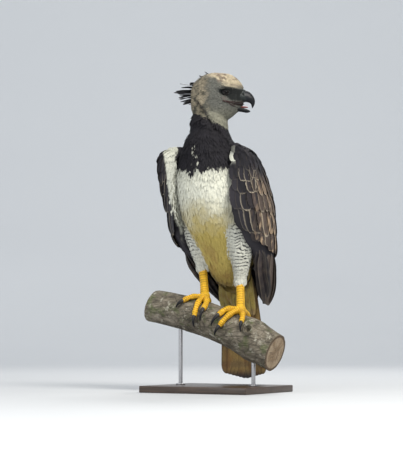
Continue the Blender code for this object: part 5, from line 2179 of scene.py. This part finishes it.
@dataclass
class Bill:
    """Hooked bill with its cere and nostrils, and the lower half with the tongue in it."""

    horn: HornFinish
    flesh: SkinFinish
    nostril: tuple[float, float] = (0.0505, -0.0030)
    nostril_slant: float = math.radians(-28)
    mouth_line: tuple[tuple[float, float], ...] = (
        (-0.005, -0.0238),
        (0.010, -0.0268),
        (0.024, -0.0296),
        (0.036, -0.0312),
        (0.050, -0.0288),
    )

    def half(self, rows: Sequence[Sequence[float]], stations: int, sharp: float, count: int) -> Array:
        """Rings of one half of the bill, in the head's frame.

        Args:
            rows: Sizes from the root to the tip.
            stations: Number of rings.
            sharp: How much narrower the rings are at the ridge.
            count: Points in a ring.

        Returns:
            The rings' points, as ring, point and axis.
        """
        keyed = [(i / (len(rows) - 1), *row) for i, row in enumerate(rows)]
        sizes = spread(keyed, np.linspace(0, 1, stations))
        ridge = np.stack((0 * sizes[:, 0], -sizes[:, 0], sizes[:, 1]), axis=-1)
        edge = np.stack((0 * sizes[:, 0], -sizes[:, 2], sizes[:, 3]), axis=-1)
        middle, tall = (ridge + edge) / 2, (ridge - edge) / 2
        angle = np.linspace(0, 2 * math.pi, count, endpoint=False)
        c, s = np.cos(angle), np.sin(angle)
        wide = sizes[:, 4, None] * c * (1 - sharp * s)
        ring = middle[:, None] + tall[:, None] * s[None, :, None]
        ring[..., 0] += wide
        return ring

    def cere(self, forward: Array, up: Array) -> Array:
        """Where the cere covers the horn, from 0 to 1."""
        return smooth_step(0.0012, -0.0012, forward - (0.0560 - 0.10 * (up - 0.004)))

    def upper(self) -> Piece:
        """Makes the upper half.

        Returns:
            The finished piece.
        """
        ring = self.half(UPPER_BILL, 44, 0.22, 40)
        forward, up, side = -ring[..., 1], ring[..., 2], ring[..., 0]
        # The cere swells a little over the horn, with a step along its front edge
        cere = self.cere(forward, up)
        ring[..., 0] *= 1 + 0.055 * cere
        ring[..., 2] += 0.0009 * cere * (up > 0.0)
        # Nostrils, slanting slots in the cere
        for sign in (1, -1):
            turn = self.nostril_slant
            f, u = forward - self.nostril[0], up - self.nostril[1]
            long = f * math.sin(turn) + u * math.cos(turn)
            cross = f * math.cos(turn) - u * math.sin(turn)
            deep = np.exp(-((long / 0.0036) ** 4) - ((cross / 0.0019) ** 4))
            ring[..., 0] -= np.where(side * sign > 0.004, sign * 0.0042 * deep, 0.0)
        obj = wrapped_grid("bill_upper_horn", bird(from_head(ring)), levels=1)
        local = head_places(obj)
        forward, up, side = -local[:, 1], local[:, 2], np.abs(local[:, 0])
        cere = self.cere(forward, up)
        base = smooth_step(0.074, 0.056, forward) * 0.8
        horn = blend(np.array((0.008, 0.009, 0.011)), np.array((0.016, 0.018, 0.021)), base)
        tint = blend(horn, np.array((0.020, 0.024, 0.024)), cere)
        f, u = forward - self.nostril[0], up - self.nostril[1]
        # Painted shade inside the nostrils
        deep = np.exp(-(((f * -0.469 + u * 0.883) / 0.0034) ** 4) - (((f * 0.883 + u * 0.469) / 0.0018) ** 4))
        tint = blend(tint, np.array((0.004, 0.004, 0.004)), deep * (side > 0.004))
        paint(obj.data, "tint", tint)
        return finished(obj, self.horn, ["bill_upper"])

    def lower(self) -> Piece:
        """Makes the lower half, hollowed for the tongue.

        Returns:
            The finished piece.
        """
        ring = self.half(LOWER_BILL, 30, -0.10, 40)
        top = ring[..., 2].max(axis=1, keepdims=True)
        half = np.abs(ring[..., 0]).max(axis=1, keepdims=True)
        inner = smooth_step(0.80, 0.45, np.abs(ring[..., 0]) / half) * (ring[..., 2] > top - 0.004)
        ring[..., 2] -= 0.0030 * inner * smooth_step(0.0, 0.004, half)
        obj = wrapped_grid("bill_lower_horn", bird(from_head(ring)), levels=1)
        local = head_places(obj)
        inside = smooth_step(-0.0455, -0.0425, local[:, 2]) * smooth_step(0.009, 0.007, np.abs(local[:, 0]))
        tint = blend(np.array((0.010, 0.011, 0.012)), np.array((0.12, 0.035, 0.030)), inside * 0.7)
        paint(obj.data, "tint", tint)
        return finished(obj, self.horn, ["bill_lower"])

    def tongue(self) -> Piece:
        """Makes the tongue, grooved along its middle.

        Returns:
            The finished piece.
        """
        back = np.array((-0.030, -0.040, -0.050, -0.058, -0.063))
        up = np.array((-0.0408, -0.0398, -0.0390, -0.0400, -0.0420))
        line = smooth_line(np.stack((0 * back, back, up), axis=-1), 22)
        part = np.linspace(0, 1, 23)
        radii = 0.0032 + 0.0018 * np.sin(math.pi * (0.25 + 0.7 * part))
        radii = radii * np.sqrt(np.clip(1.04 - part**6, 0.03, 1))
        ring = tube_rings(line, radii, 20)
        groove = np.exp(-((ring[..., 0] / 0.0009) ** 2)) * (ring[..., 2] > line[:, None, 2])
        ring[..., 2] = -0.0400 + (ring[..., 2] + 0.0400) * 0.55 - 0.0006 * groove
        obj = wrapped_grid("tongue_flesh", bird(from_head(ring)), levels=1)
        paint(obj.data, "tint", np.array(((0.26, 0.075, 0.062),)))
        return finished(obj, self.flesh, ["tongue"])

    def gape(self) -> Piece:
        """Makes the fleshy lips that run from the corners of the mouth to the bill.

        Returns:
            The finished piece.
        """
        parts = []
        for sign in (1, -1):
            for lower in (False, True):
                places = []
                for forward, up in self.mouth_line:
                    drop = 0.0105 * float(smooth_step(-0.004, 0.036, forward)) + 0.0012 if lower else 0.0
                    top, bottom, half = spread(HEAD_ROWS, min(forward, 0.049))[0]
                    share = min(0.98, abs(up - drop - (top + bottom) / 2) / ((top - bottom) / 2))
                    reach = half * (1 - share**HEAD_SQUARE) ** (1 / HEAD_SQUARE)
                    reach = max(reach - 0.0012, 0.0135 if forward > 0.03 else 0.0)
                    places.append((sign * reach, -min(forward, 0.034 if lower else 0.050), up - drop))
                line = smooth_line(np.array(places), 24)
                radii = (0.0005 if lower else 0.0008) + 0.0008 * np.sin(math.pi * np.linspace(0.06, 0.94, 25))
                parts.append(wrapped_grid("lip", bird(from_head(tube_rings(line, radii, 10))), levels=1))
        obj = joined("gape_skin", parts)
        local = head_places(obj)
        front = smooth_step(0.010, 0.036, -local[:, 1])
        tint = blend(np.array((0.042, 0.014, 0.012)), np.array((0.012, 0.008, 0.007)), front)
        paint(obj.data, "tint", tint)
        return finished(obj, self.flesh)


@dataclass
class Eye:
    """One eye with its clear bulge, and the lids round it."""

    side: Side
    wet: EyeFinish
    skin: SkinFinish

    def ball(self) -> Piece:
        """Makes the ball, with pupil, iris and dark rim.

        Returns:
            The finished piece.
        """
        clear_selection()
        bpy.ops.mesh.primitive_uv_sphere_add(segments=64, ring_count=48, radius=EYE_RADIUS * 0.985,
                                             rotation=(0, math.pi / 2, 0))
        obj = bpy.context.object
        settle(obj)
        points = coords(obj.data)
        look = unit(np.array((self.side.value, -0.36, -0.03)))
        facing = unit(points) @ look
        points = points + look * (0.0010 * smooth_step(0.86, 0.99, facing))[:, None]
        set_coords(obj.data, bird(from_head(points + np.array((self.side.value * EYE_SIDE, 0, 0)))))
        iris = np.array((0.007, 0.004, 0.003))
        tint = blend(np.array((0.004, 0.003, 0.003)), iris, smooth_step(0.745, 0.775, facing))
        tint = blend(tint, np.array((0.014, 0.008, 0.005)), smooth_step(0.86, 0.90, facing) * 0.7)
        tint = blend(tint, np.array((0.001, 0.001, 0.001)), smooth_step(0.900, 0.912, facing))
        paint(obj.data, "tint", tint)
        obj.name = obj.data.name = f"eye_ball_{self.side.word}"
        return finished(obj, self.wet, [f"eye_{self.side.word}"], 80)

    def lids(self) -> Piece:
        """Makes the rim of skin round the eye, heavier above it.

        Returns:
            The finished piece.
        """
        clear_selection()
        bpy.ops.mesh.primitive_torus_add(major_segments=72, minor_segments=16, major_radius=0.0094,
                                         minor_radius=0.0026, rotation=(0, math.pi / 2, 0))
        obj = bpy.context.object
        settle(obj)
        points = coords(obj.data)
        round_at = np.arctan2(points[:, 2], points[:, 1])
        above = np.clip(np.sin(round_at), 0, 1)
        outer = np.clip((np.hypot(points[:, 1], points[:, 2]) - 0.0094) / 0.0026, 0, 1)
        points[:, 2] = points[:, 2] * 0.70 - 0.0030 * above**2 + 0.0060 * outer * above
        points[:, 0] -= 0.0024 * outer
        points[:, 0] = points[:, 0] * self.side.value * (1.0 + 0.5 * above) + self.side.value * 0.0008 * above
        corner = -0.0012 * smooth_step(0.006, 0.011, -points[:, 1])
        points[:, 1] += np.where(points[:, 1] < -0.006, corner, 0.0)
        points = turned(points, -self.side.value * math.radians(22))
        place = np.array((self.side.value * (EYE_SIDE + 0.0062), -0.0026, 0.0))
        # Painted shade on the upper lid, under the brow
        tint = blend(np.array((0.010, 0.010, 0.010)), np.array((0.004, 0.004, 0.004)), above)
        set_coords(obj.data, bird(from_head(points + place)))
        obj.name = obj.data.name = f"lids_{self.side.word}"
        face_outwards(obj)
        paint(obj.data, "tint", tint)
        return finished(obj, self.skin)


@dataclass
class Foot:
    """One foot: scaled shank and toes, and four hooked claws."""

    side: Side
    skin: SkinFinish
    horn: HornFinish
    claw_lengths: dict[str, float] = field(
        default_factory=lambda: {"inner": 0.050, "middle": 0.044, "outer": 0.038, "hind": 0.058}
    )

    def scaled(self, name: str, line: Array, radii: Array, ways: Array, pitch: float, rise: float) -> Piece:
        """A limb with overlapping plates down the side that faces one way.

        Args:
            name: Name of the new object.
            line: Places along the limb.
            radii: Radius at each place.
            ways: Direction that the plates face at each place.
            pitch: Length of a plate.
            rise: Height of a plate's edge.

        Returns:
            The limb.
        """
        ring = tube_rings(line, radii, 28)
        run = np.concatenate(([0], np.cumsum(np.linalg.norm(np.diff(line, axis=0), axis=1))))
        spoke = unit(ring - line[:, None])
        facing = np.sum(spoke * ways[:, None], axis=-1)
        saw = (run / pitch) % 1.0
        front = smooth_step(0.15, 0.60, facing)
        plate = rise * (saw**0.6 - smooth_step(0.86, 1.0, saw))
        ring = ring + spoke * (plate[:, None] * front)[..., None]
        obj = wrapped_grid(name, bird(ring), levels=0)
        # Painted shade in the gaps between the plates, and along the line where the plates meet the bare side
        gap = np.maximum(smooth_step(0.84, 0.97, saw), smooth_step(0.10, 0.0, saw))[:, None] * front
        gap = gap + 0.5 * np.exp(-(((facing - 0.32) / 0.12) ** 2))
        tree = KDTree(ring.shape[0] * ring.shape[1])
        for index, place in enumerate(bird(ring).reshape(-1, 3)):
            tree.insert(place, index)
        tree.balance()
        dark = gap.ravel()[[tree.find(place)[1] for place in coords(obj.data)]]
        self.tint(obj, dark)
        return obj

    def tint(self, obj: Piece, dark: Array | float) -> None:
        """Paints yellow skin, with painted shade in its creases and on its underside.

        Args:
            obj: The part.
            dark: How much painted shade each vertex gets, or all of them.
        """
        places = coords(obj.data)
        tint = np.array((0.82, 0.47, 0.022)) * (1.0 + 0.16 * grain(places, 0.010, 9))[:, None]
        # Painted shade on the underside, where the normals point down
        low = smooth_step(0.1, -0.8, point_normals(obj.data)[:, 2])
        tint = blend(tint, np.array((0.42, 0.20, 0.015)), low * 0.5)
        paint(obj.data, "tint", blend(tint, np.array((0.20, 0.085, 0.012)), np.clip(dark, 0, 1) * 0.80))

    def build(self) -> Piece:
        """Makes the foot with shank and toes.

        Returns:
            The finished piece.
        """
        sign = self.side.value
        centre = FOOT_ALONG * sign
        palm = perch_point(centre, 0, 0.012)
        top = np.array((sign * 0.065, 0.028, SHANK_TOP[sign] + 0.012))
        line = smooth_line(np.array((top, (top + palm) / 2 + np.array((0, 0.002, 0)), palm)), 90)
        at = np.linspace(-1, 1, 91)
        radii = 0.0118 + 0.0024 * np.abs(at) ** 2
        ways = np.broadcast_to(unit(np.array((0, -1, 0.2))), line.shape)
        parts = [self.scaled("shank", line, radii, ways, 0.0080, 0.0013)]
        heart = perch_point(centre, 0, -PERCH_RADIUS)
        for name, (steps, thick, thin) in TOES.items():
            alongs = centre + sign * np.array([a for a, _ in steps])
            line = smooth_line(perch_point(alongs, np.radians([d for _, d in steps]), thick * 0.90), 110)
            part = np.linspace(0, 1, 111)
            radii = (thick + (thin - thick) * part) * (1 + 0.10 * np.sin(part * math.pi * 5.2 - 0.6))
            radii = radii * np.sqrt(np.clip(1.02 - smooth_step(0.90, 1.0, part) * 0.45, 0.1, 1.1))
            ways = unit(line - heart)
            parts.append(self.scaled(name, line, radii, ways, 0.0062, 0.0014))
            clear_selection()
            bpy.ops.mesh.primitive_uv_sphere_add(segments=24, ring_count=16, radius=thin * 1.02,
                                                 location=tuple(bird(line[-1])))
            parts.append(settle(bpy.context.object))
            # The toe's round tip, with a little painted shade all over
            self.tint(parts[-1], 0.15)
        clear_selection()
        bpy.ops.mesh.primitive_uv_sphere_add(
            segments=32, ring_count=20, radius=0.0158, location=tuple(bird(palm))
        )
        parts.append(settle(bpy.context.object))
        # The palm, with a little painted shade all over
        self.tint(parts[-1], 0.1)
        obj = joined(f"foot_skin_{self.side.word}", parts)
        return finished(obj, self.skin, [f"foot_{self.side.word}"], 75)

    def claws(self) -> None:
        """Makes the four claws, each curved in towards the bark."""
        sign = self.side.value
        centre = FOOT_ALONG * sign
        for name, (steps, thick, thin) in TOES.items():
            angles = np.radians([d for _, d in steps])
            alongs = centre + sign * np.array([a for a, _ in steps])
            line = smooth_line(perch_point(alongs, angles, thick * 0.90), 9)
            away = line[-1] - perch_point(alongs[-1], angles[-1], -PERCH_RADIUS)
            ahead = unit(line[-1] - line[-3])
            bark = unit(away - ahead * np.dot(away, ahead))
            turn, start = math.radians(105), math.radians(26)
            bend = self.claw_lengths[name] / turn
            part = np.linspace(0, 1, 41)
            angle = turn * part - start
            path = line[-1] + ahead * (bend * (np.sin(angle) + math.sin(start)))[:, None]
            path = path - bark * (bend * (math.cos(start) - np.cos(angle)))[:, None]
            radii = thin * 0.80 * (1 - part) ** 0.72 + 0.00045
            rings = bird(tube_rings(path, radii, 20))
            obj = wrapped_grid(f"claw_horn_{name}_{self.side.word}", rings, levels=1)
            reach = np.linalg.norm(coords(obj.data) - bird(line[-1]), axis=1) / self.claw_lengths[name]
            point = smooth_step(0.1, 0.6, reach)
            tint = blend(np.array((0.045, 0.042, 0.040)), np.array((0.012, 0.012, 0.014)), point)
            paint(obj.data, "tint", tint)
            finished(obj, self.horn, [f"claw_{name}_{self.side.word}"])


@dataclass
class Perch:
    """Cut length of branch with rough bark, the scar of a lost twig and sawn ends."""

    finish: BarkFinish
    stations: int = 230
    count: int = 200

    def build(self) -> Piece:
        """Makes the branch.

        Returns:
            The finished piece.
        """
        along = np.linspace(*PERCH_ENDS, self.stations)
        turn = np.linspace(0, 2 * math.pi, self.count, endpoint=False)
        a, t = np.meshgrid(along, turn, indexing="ij")
        flat = np.stack((a.ravel(), 0.05 * np.cos(t).ravel(), 0.05 * np.sin(t).ravel()), axis=-1)
        stretched = flat * np.array((0.45, 1, 1))
        rough = 0.55 * grain(stretched, 0.016, 1) + 0.30 * grain(stretched, 0.007, 2)
        rough = rough + 0.2 * grain(stretched, 0.0032, 3)
        rough = rough.reshape(a.shape)
        rise = -0.0011 + 0.0019 * rough
        apart = np.hypot(a - KNOT_ALONG, (t - KNOT_ROUND) * 0.058)
        rise = rise + 0.0085 * np.exp(-(((apart - 0.0125) / 0.0045) ** 2))
        rise = rise + 0.003 * np.exp(-((apart / 0.026) ** 2))
        rise = rise - 0.013 * smooth_step(0.0105, 0.0060, apart)
        ring = perch_point(a, t, rise)
        ends = []
        for k, index in ((0, 0), (-1, -1)):
            heart = ring[index].mean(axis=0)
            shrink = np.linspace(0.965, 0.02, 14)
            caps = heart + (ring[index][None] - heart) * shrink[:, None, None]
            ends.append(caps[::-1] if k == 0 else caps)
        ring = np.concatenate((ends[0], ring, ends[1]), axis=0)
        obj = wrapped_grid("branch_bark", bird(ring), levels=0)
        places = foot_places(obj)
        run = (places - PERCH_HEART) @ PERCH_AXIS
        cut = np.maximum(smooth_step(PERCH_ENDS[0] + 0.0012, PERCH_ENDS[0] + 0.0004, run),
                         smooth_step(PERCH_ENDS[1] - 0.0012, PERCH_ENDS[1] - 0.0004, run))
        radial = places - PERCH_HEART - PERCH_AXIS * run[:, None] + PERCH_UP * perch_sag(run)[:, None]
        reach = np.linalg.norm(radial, axis=1)
        rings = 0.5 + 0.5 * np.sin((reach + 0.002 * grain(places, 0.02, 4)) * 2 * math.pi / 0.0042)
        wood = blend(np.array((0.34, 0.26, 0.175)), np.array((0.22, 0.155, 0.095)), rings)
        round_at = np.arctan2(radial[:, 1], radial @ PERCH_UP)
        # Dark radial splits across the sawn ends: painted shade in the splits
        split = np.exp(-((np.sin(round_at * 2.5 + 0.7) / (0.05 + 0.0012 / (reach + 0.004))) ** 2))
        wood = blend(wood, np.array((0.07, 0.05, 0.035)), split * smooth_step(0.046, 0.030, reach) * 0.7)
        wood = blend(wood, np.array((0.10, 0.07, 0.045)), smooth_step(0.046, 0.0495, reach))
        paint_level(obj.data, "tint", cut)
        paint(obj.data, "wood", wood)
        return finished(obj, self.finish, ["perch"], 70)


@dataclass
class Stand:
    """Rounded base board, two brushed rods and a small flange under each rod."""

    board: BoardFinish
    steel: SteelFinish
    size: tuple[float, float, float] = (0.36, 0.30, 0.020)
    corner: float = 0.045
    rod_radius: float = 0.006
    rods: tuple[float, float] = (-0.125, 0.125)

    def base(self) -> Piece:
        """Makes the board.

        Returns:
            The finished piece.
        """
        clear_selection()
        bpy.ops.mesh.primitive_cube_add(size=1.0, location=(0, 0, self.size[2] / 2), scale=self.size)
        obj = settle(bpy.context.object)
        obj.name = obj.data.name = "base_board"
        bpy.ops.object.mode_set(mode="EDIT")
        mesh = bmesh.from_edit_mesh(obj.data)
        for edge in mesh.edges:
            edge.select_set(abs(edge.verts[0].co.z - edge.verts[1].co.z) > self.size[2] / 2)
        bmesh.update_edit_mesh(obj.data)
        bpy.ops.mesh.bevel(offset=self.corner, segments=14, affect="EDGES")
        bpy.ops.object.mode_set(mode="OBJECT")
        sharp = math.radians(50)
        apply_modifier(obj, "BEVEL", width=0.0026, segments=4, limit_method="ANGLE", angle_limit=sharp)
        return finished(obj, self.board, ["stand_base"], 40)

    def upright(self, x: float, word: str) -> Piece:
        """Makes one rod with its flange.

        Args:
            x: Place of the rod.
            word: Name of its side.

        Returns:
            The finished piece.
        """
        bottom, reach = self.size[2] + 0.0003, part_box(f"stand_rod_{word}")[1][2]
        clear_selection()
        bpy.ops.mesh.primitive_cylinder_add(vertices=48, radius=self.rod_radius, depth=reach - bottom,
                                            location=(x, 0, (reach + bottom) / 2))
        rod = settle(bpy.context.object)
        clear_selection()
        bpy.ops.mesh.primitive_cylinder_add(
            vertices=64, radius=0.014, depth=0.004, location=(x, 0, bottom + 0.002)
        )
        flange = settle(bpy.context.object)
        apply_modifier(flange, "BEVEL", width=0.0012, segments=3, limit_method="ANGLE")
        obj = joined(f"rod_{word}", [rod, flange])
        return finished(obj, self.steel, [f"stand_rod_{word}"], 40)


def sight(azimuth: float, elevation: float) -> Vector:
    """Direction from the model towards a viewer at angles round it and above it, in degrees."""
    a, e = math.radians(azimuth), math.radians(elevation)
    return Vector((math.sin(a) * math.cos(e), -math.cos(a) * math.cos(e), math.sin(e)))


@dataclass
class Studio:
    """Plain pale floor and backdrop, soft lights and the camera."""

    room: RoomFinish
    azimuth: float = PHOTO_AZIMUTH
    elevation: float = -4.0
    distance: float = 4.6
    centre_px: tuple[float, float] = (201.5, 225.0)
    foot_px: tuple[float, float] = (216.5, 301.0)
    height_px: int = 450
    scale: float = 0.0030
    sensor: float = 36.0
    floor_width: float = 26.0
    floor_length: float = 22.0
    floor_front: float = 9.0
    curve_start: float = 4.0
    curve_run: float = 3.0

    def floor(self) -> None:
        """Makes the floor that curves up into a backdrop."""
        clear_selection()
        bpy.ops.mesh.primitive_grid_add(x_subdivisions=8, y_subdivisions=40, size=1.0)
        obj = bpy.context.object
        obj.name = obj.data.name = "floor"
        points = coords(obj.data)
        start, curve = self.curve_start, self.curve_run
        run = (points[:, 1] + 0.5) * self.floor_length - self.floor_front
        bend = np.clip((run - start) / curve, 0, None)
        angle = np.clip(bend * math.pi / 2, 0, math.pi / 2)
        y = np.where(run > start, start + curve * (2 / math.pi) * np.sin(angle), run)
        z = np.where(run > start, curve * (2 / math.pi) * (1 - np.cos(angle)), 0.0)
        z = z + np.clip(run - (start + curve), 0, None)
        spot = np.stack((points[:, 0] * self.floor_width, y, z - 0.0002), axis=-1)
        set_coords(obj.data, turned(spot, math.radians(self.azimuth)))
        smooth_shaded(obj)
        obj.data.materials.append(self.room.make())

    def light(self, name: str, azimuth: float, elevation: float, reach: float, size: float, power: float,
              colour: tuple[float, float, float]) -> None:
        """Adds one soft area light that looks at the bird, placed by angles from the camera's side.

        Args:
            name: Name of the light.
            azimuth: Degrees round from the camera's side.
            elevation: Degrees above the floor.
            reach: Distance from the bird.
            size: Width of the light.
            power: Watts.
            colour: Its colour.
        """
        way = sight(self.azimuth + azimuth, elevation)
        data = bpy.data.lights.new(name, "AREA")
        data.shape = "DISK"
        data.size = size
        data.energy = power
        data.color = colour
        obj = bpy.data.objects.new(name, data)
        obj.location = Vector((0, 0, 0.5)) + way * reach
        obj.rotation_euler = way.to_track_quat("Z", "Y").to_euler()
        bpy.context.scene.collection.objects.link(obj)

    def build(self) -> None:
        """Makes the studio and sets the camera."""
        self.floor()
        self.light("key", 34, 44, 3.2, 1.4, 118, (1.0, 0.965, 0.90))
        self.light("fill", -40, 16, 3.4, 2.4, 42, (0.97, 0.98, 1.0))
        self.light("back", 165, 50, 3.4, 1.6, 55, (1.0, 0.99, 0.97))
        world = bpy.data.worlds.new("studio")
        world.use_nodes = True
        sky = world.node_tree.nodes["Background"]
        sky.inputs["Color"].default_value = (0.86, 0.90, 0.95, 1)
        sky.inputs["Strength"].default_value = 0.62
        bpy.context.scene.world = world
        back = sight(self.azimuth, self.elevation)
        turn = math.radians(self.azimuth)
        right = Vector((math.cos(turn), math.sin(turn), 0))
        up = back.cross(right)
        aim = Vector((0, 0, FOOT_LEVEL)) + right * ((self.centre_px[0] - self.foot_px[0]) * self.scale)
        aim = aim + up * ((self.foot_px[1] - self.centre_px[1]) * self.scale)
        data = bpy.data.cameras.new("camera")
        data.sensor_fit = "VERTICAL"
        data.sensor_height = self.sensor
        data.lens = self.sensor / (self.height_px * self.scale / self.distance)
        data.clip_start, data.clip_end = 0.05, 80.0
        camera = bpy.data.objects.new("camera", data)
        camera.location = aim + back * self.distance
        camera.rotation_euler = back.to_track_quat("Z", "Y").to_euler()
        bpy.context.scene.collection.objects.link(camera)
        bpy.context.scene.camera = camera
        bpy.context.scene.view_settings.view_transform = "Standard"


def coat_patches() -> list[Patch]:
    """Regions of the coat, from the face down to the thighs.

    Returns:
        The regions.
    """
    soft = PlumageFinish("down_soft", lines=9.0, mottle=0.30, sheen=0.06)
    belly = PlumageFinish("down_belly", lines=7.0, mottle=0.12, relief=0.18)
    dark = PlumageFinish("down_dark", roughness=0.70, sheen=0.0, lines=12.0)
    mantle = PlumageFinish("mantle_feather", roughness=0.58, sheen=0.05, lines=40.0, shaft=0.5)
    barred = PlumageFinish("down_barred", lines=9.0, barred=True, mottle=0.12, relief=0.2)
    face = Tuft(0.0078, 0.0026, 3, 3, 1, lift=0.34, shadow=0.30, vary=0.34, sink=0.0001)
    crown = Tuft(0.0118, 0.0046, 3, 4, 1, lift=0.26, shadow=0.35, vary=0.38)
    hood = Tuft(0.0125, 0.0052, 3, 4, 1, lift=0.27, shadow=0.32, vary=0.34)
    neck = Tuft(0.0240, 0.0092, 3, 4, 2, lift=0.28)
    breast = Tuft(0.0250, 0.0110, 3, 4, 2, lift=0.26)
    front = Tuft(0.0260, 0.0150, 3, 4, 2, lift=0.15, curl=0.10, splay=0.26, wild=0.07, shadow=0.08, vary=0.08)
    back = Tuft(0.0480, 0.0260, 1, 8, 6, lift=0.22, wild=0.06)
    thigh = Tuft(0.0180, 0.0085, 3, 4, 2, lift=0.22, shadow=0.15, vary=0.12)
    return [
        Patch("coat_face", "hood", face, 0.0015, Region.face, soft, 101),
        Patch("coat_crown", "hood", crown, 0.0025, Region.crown, soft, 108),
        Patch("coat_hood", "hood", hood, 0.0027, Region.hood, soft, 102),
        Patch("coat_neck", "collar", neck, 0.0042, Region.neck, dark, 103),
        Patch("coat_breast", "collar", breast, 0.0044, Region.breast, dark, 104),
        Patch("coat_belly", "belly", front, 0.0048, Region.belly, belly, 105),
        Patch("coat_mantle", "wing", back, 0.0115, Region.mantle, mantle, 106, 0.5),
        Patch("coat_thighs", "thigh", thigh, 0.0041, Region.leg, barred, 107),
    ]


def grow_coat(scatter: Scatter, patch: Patch) -> None:
    """Makes the feathers of one region.

    Args:
        scatter: Places on the skin.
        patch: The region.
    """
    roots, normals, uvs = scatter.roots(patch.keep, patch.spacing, patch.seed)
    way = lie_of(roots, normals)
    tint = marking(roots + way * patch.tuft.length * 0.5)
    tip = None
    if patch.edge:
        uneven = np.clip(grain(roots, 0.018, 44) + 0.3, 0, 1)
        tip = blend(tint, Shade.EDGE, patch.edge * (0.05 + 0.45 * uneven))
    sheaf = Sheaf()
    patch.tuft.grow(sheaf, roots, normals, uvs, way, tint, patch.seed, tip)
    obj = sheaf.build(patch.name, patch.finish.make())
    if patch.finish.barred:
        paint_level(obj.data, "bar", bar_mask(foot_places(obj)))
    dress(obj)


def main() -> None:
    """Builds every piece in order."""
    logging.basicConfig(level=logging.INFO, format="%(name)s: %(message)s")
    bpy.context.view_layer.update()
    Studio(RoomFinish()).build()
    hide = Hide().build()
    down = PlumageFinish("skin_down", roughness=0.9, sheen=0.0, lines=1.0, barred=True, relief=0.1)
    hide.data.materials.append(down.make())
    dress(hide, ["head", "neck", "torso", "thigh_left", "thigh_right"])
    scatter = Scatter(hide)
    for patch in coat_patches():
        grow_coat(scatter, patch)
    flight = PlumageFinish(
        "flight_feather", roughness=0.52, sheen=0.03, lines=110.0, relief=0.25, shaft=0.25, mottle=0.3
    )
    for side, seed in ((Side.LEFT, 31), (Side.RIGHT, 57)):
        Wing(side, flight, seed).build()
    Wing(Side.RIGHT, flight, 57).front_edge(PlumageFinish("down_edge", lines=7.0, mottle=0.12, relief=0.18))
    Tail(flight).build()
    Crest(PlumageFinish("crest_feather", roughness=0.5, sheen=0.03, lines=60.0, shaft=0.3)).build()
    flesh = SkinFinish("mouth_flesh", roughness=0.5, cell=1500.0, relief=0.15, wet=0.12)
    bill = Bill(HornFinish("bill_horn"), flesh)
    bill.upper()
    bill.lower()
    bill.tongue()
    bill.gape()
    for side in Side:
        eye = Eye(side, EyeFinish(), SkinFinish("lid_skin", roughness=0.7, cell=1400.0, relief=0.3))
        eye.ball()
        eye.lids()
        scales = SkinFinish("foot_scales", roughness=0.42, cell=420.0, relief=0.55, depth=0.0009)
        foot = Foot(side, scales, HornFinish("claw_horn"))
        foot.build()
        foot.claws()
    Perch(BarkFinish()).build()
    stand = Stand(BoardFinish(), SteelFinish())
    stand.base()
    for word, x in (("left", stand.rods[1]), ("right", stand.rods[0])):
        stand.upright(x, word)


if __name__ == "__main__":
    main()
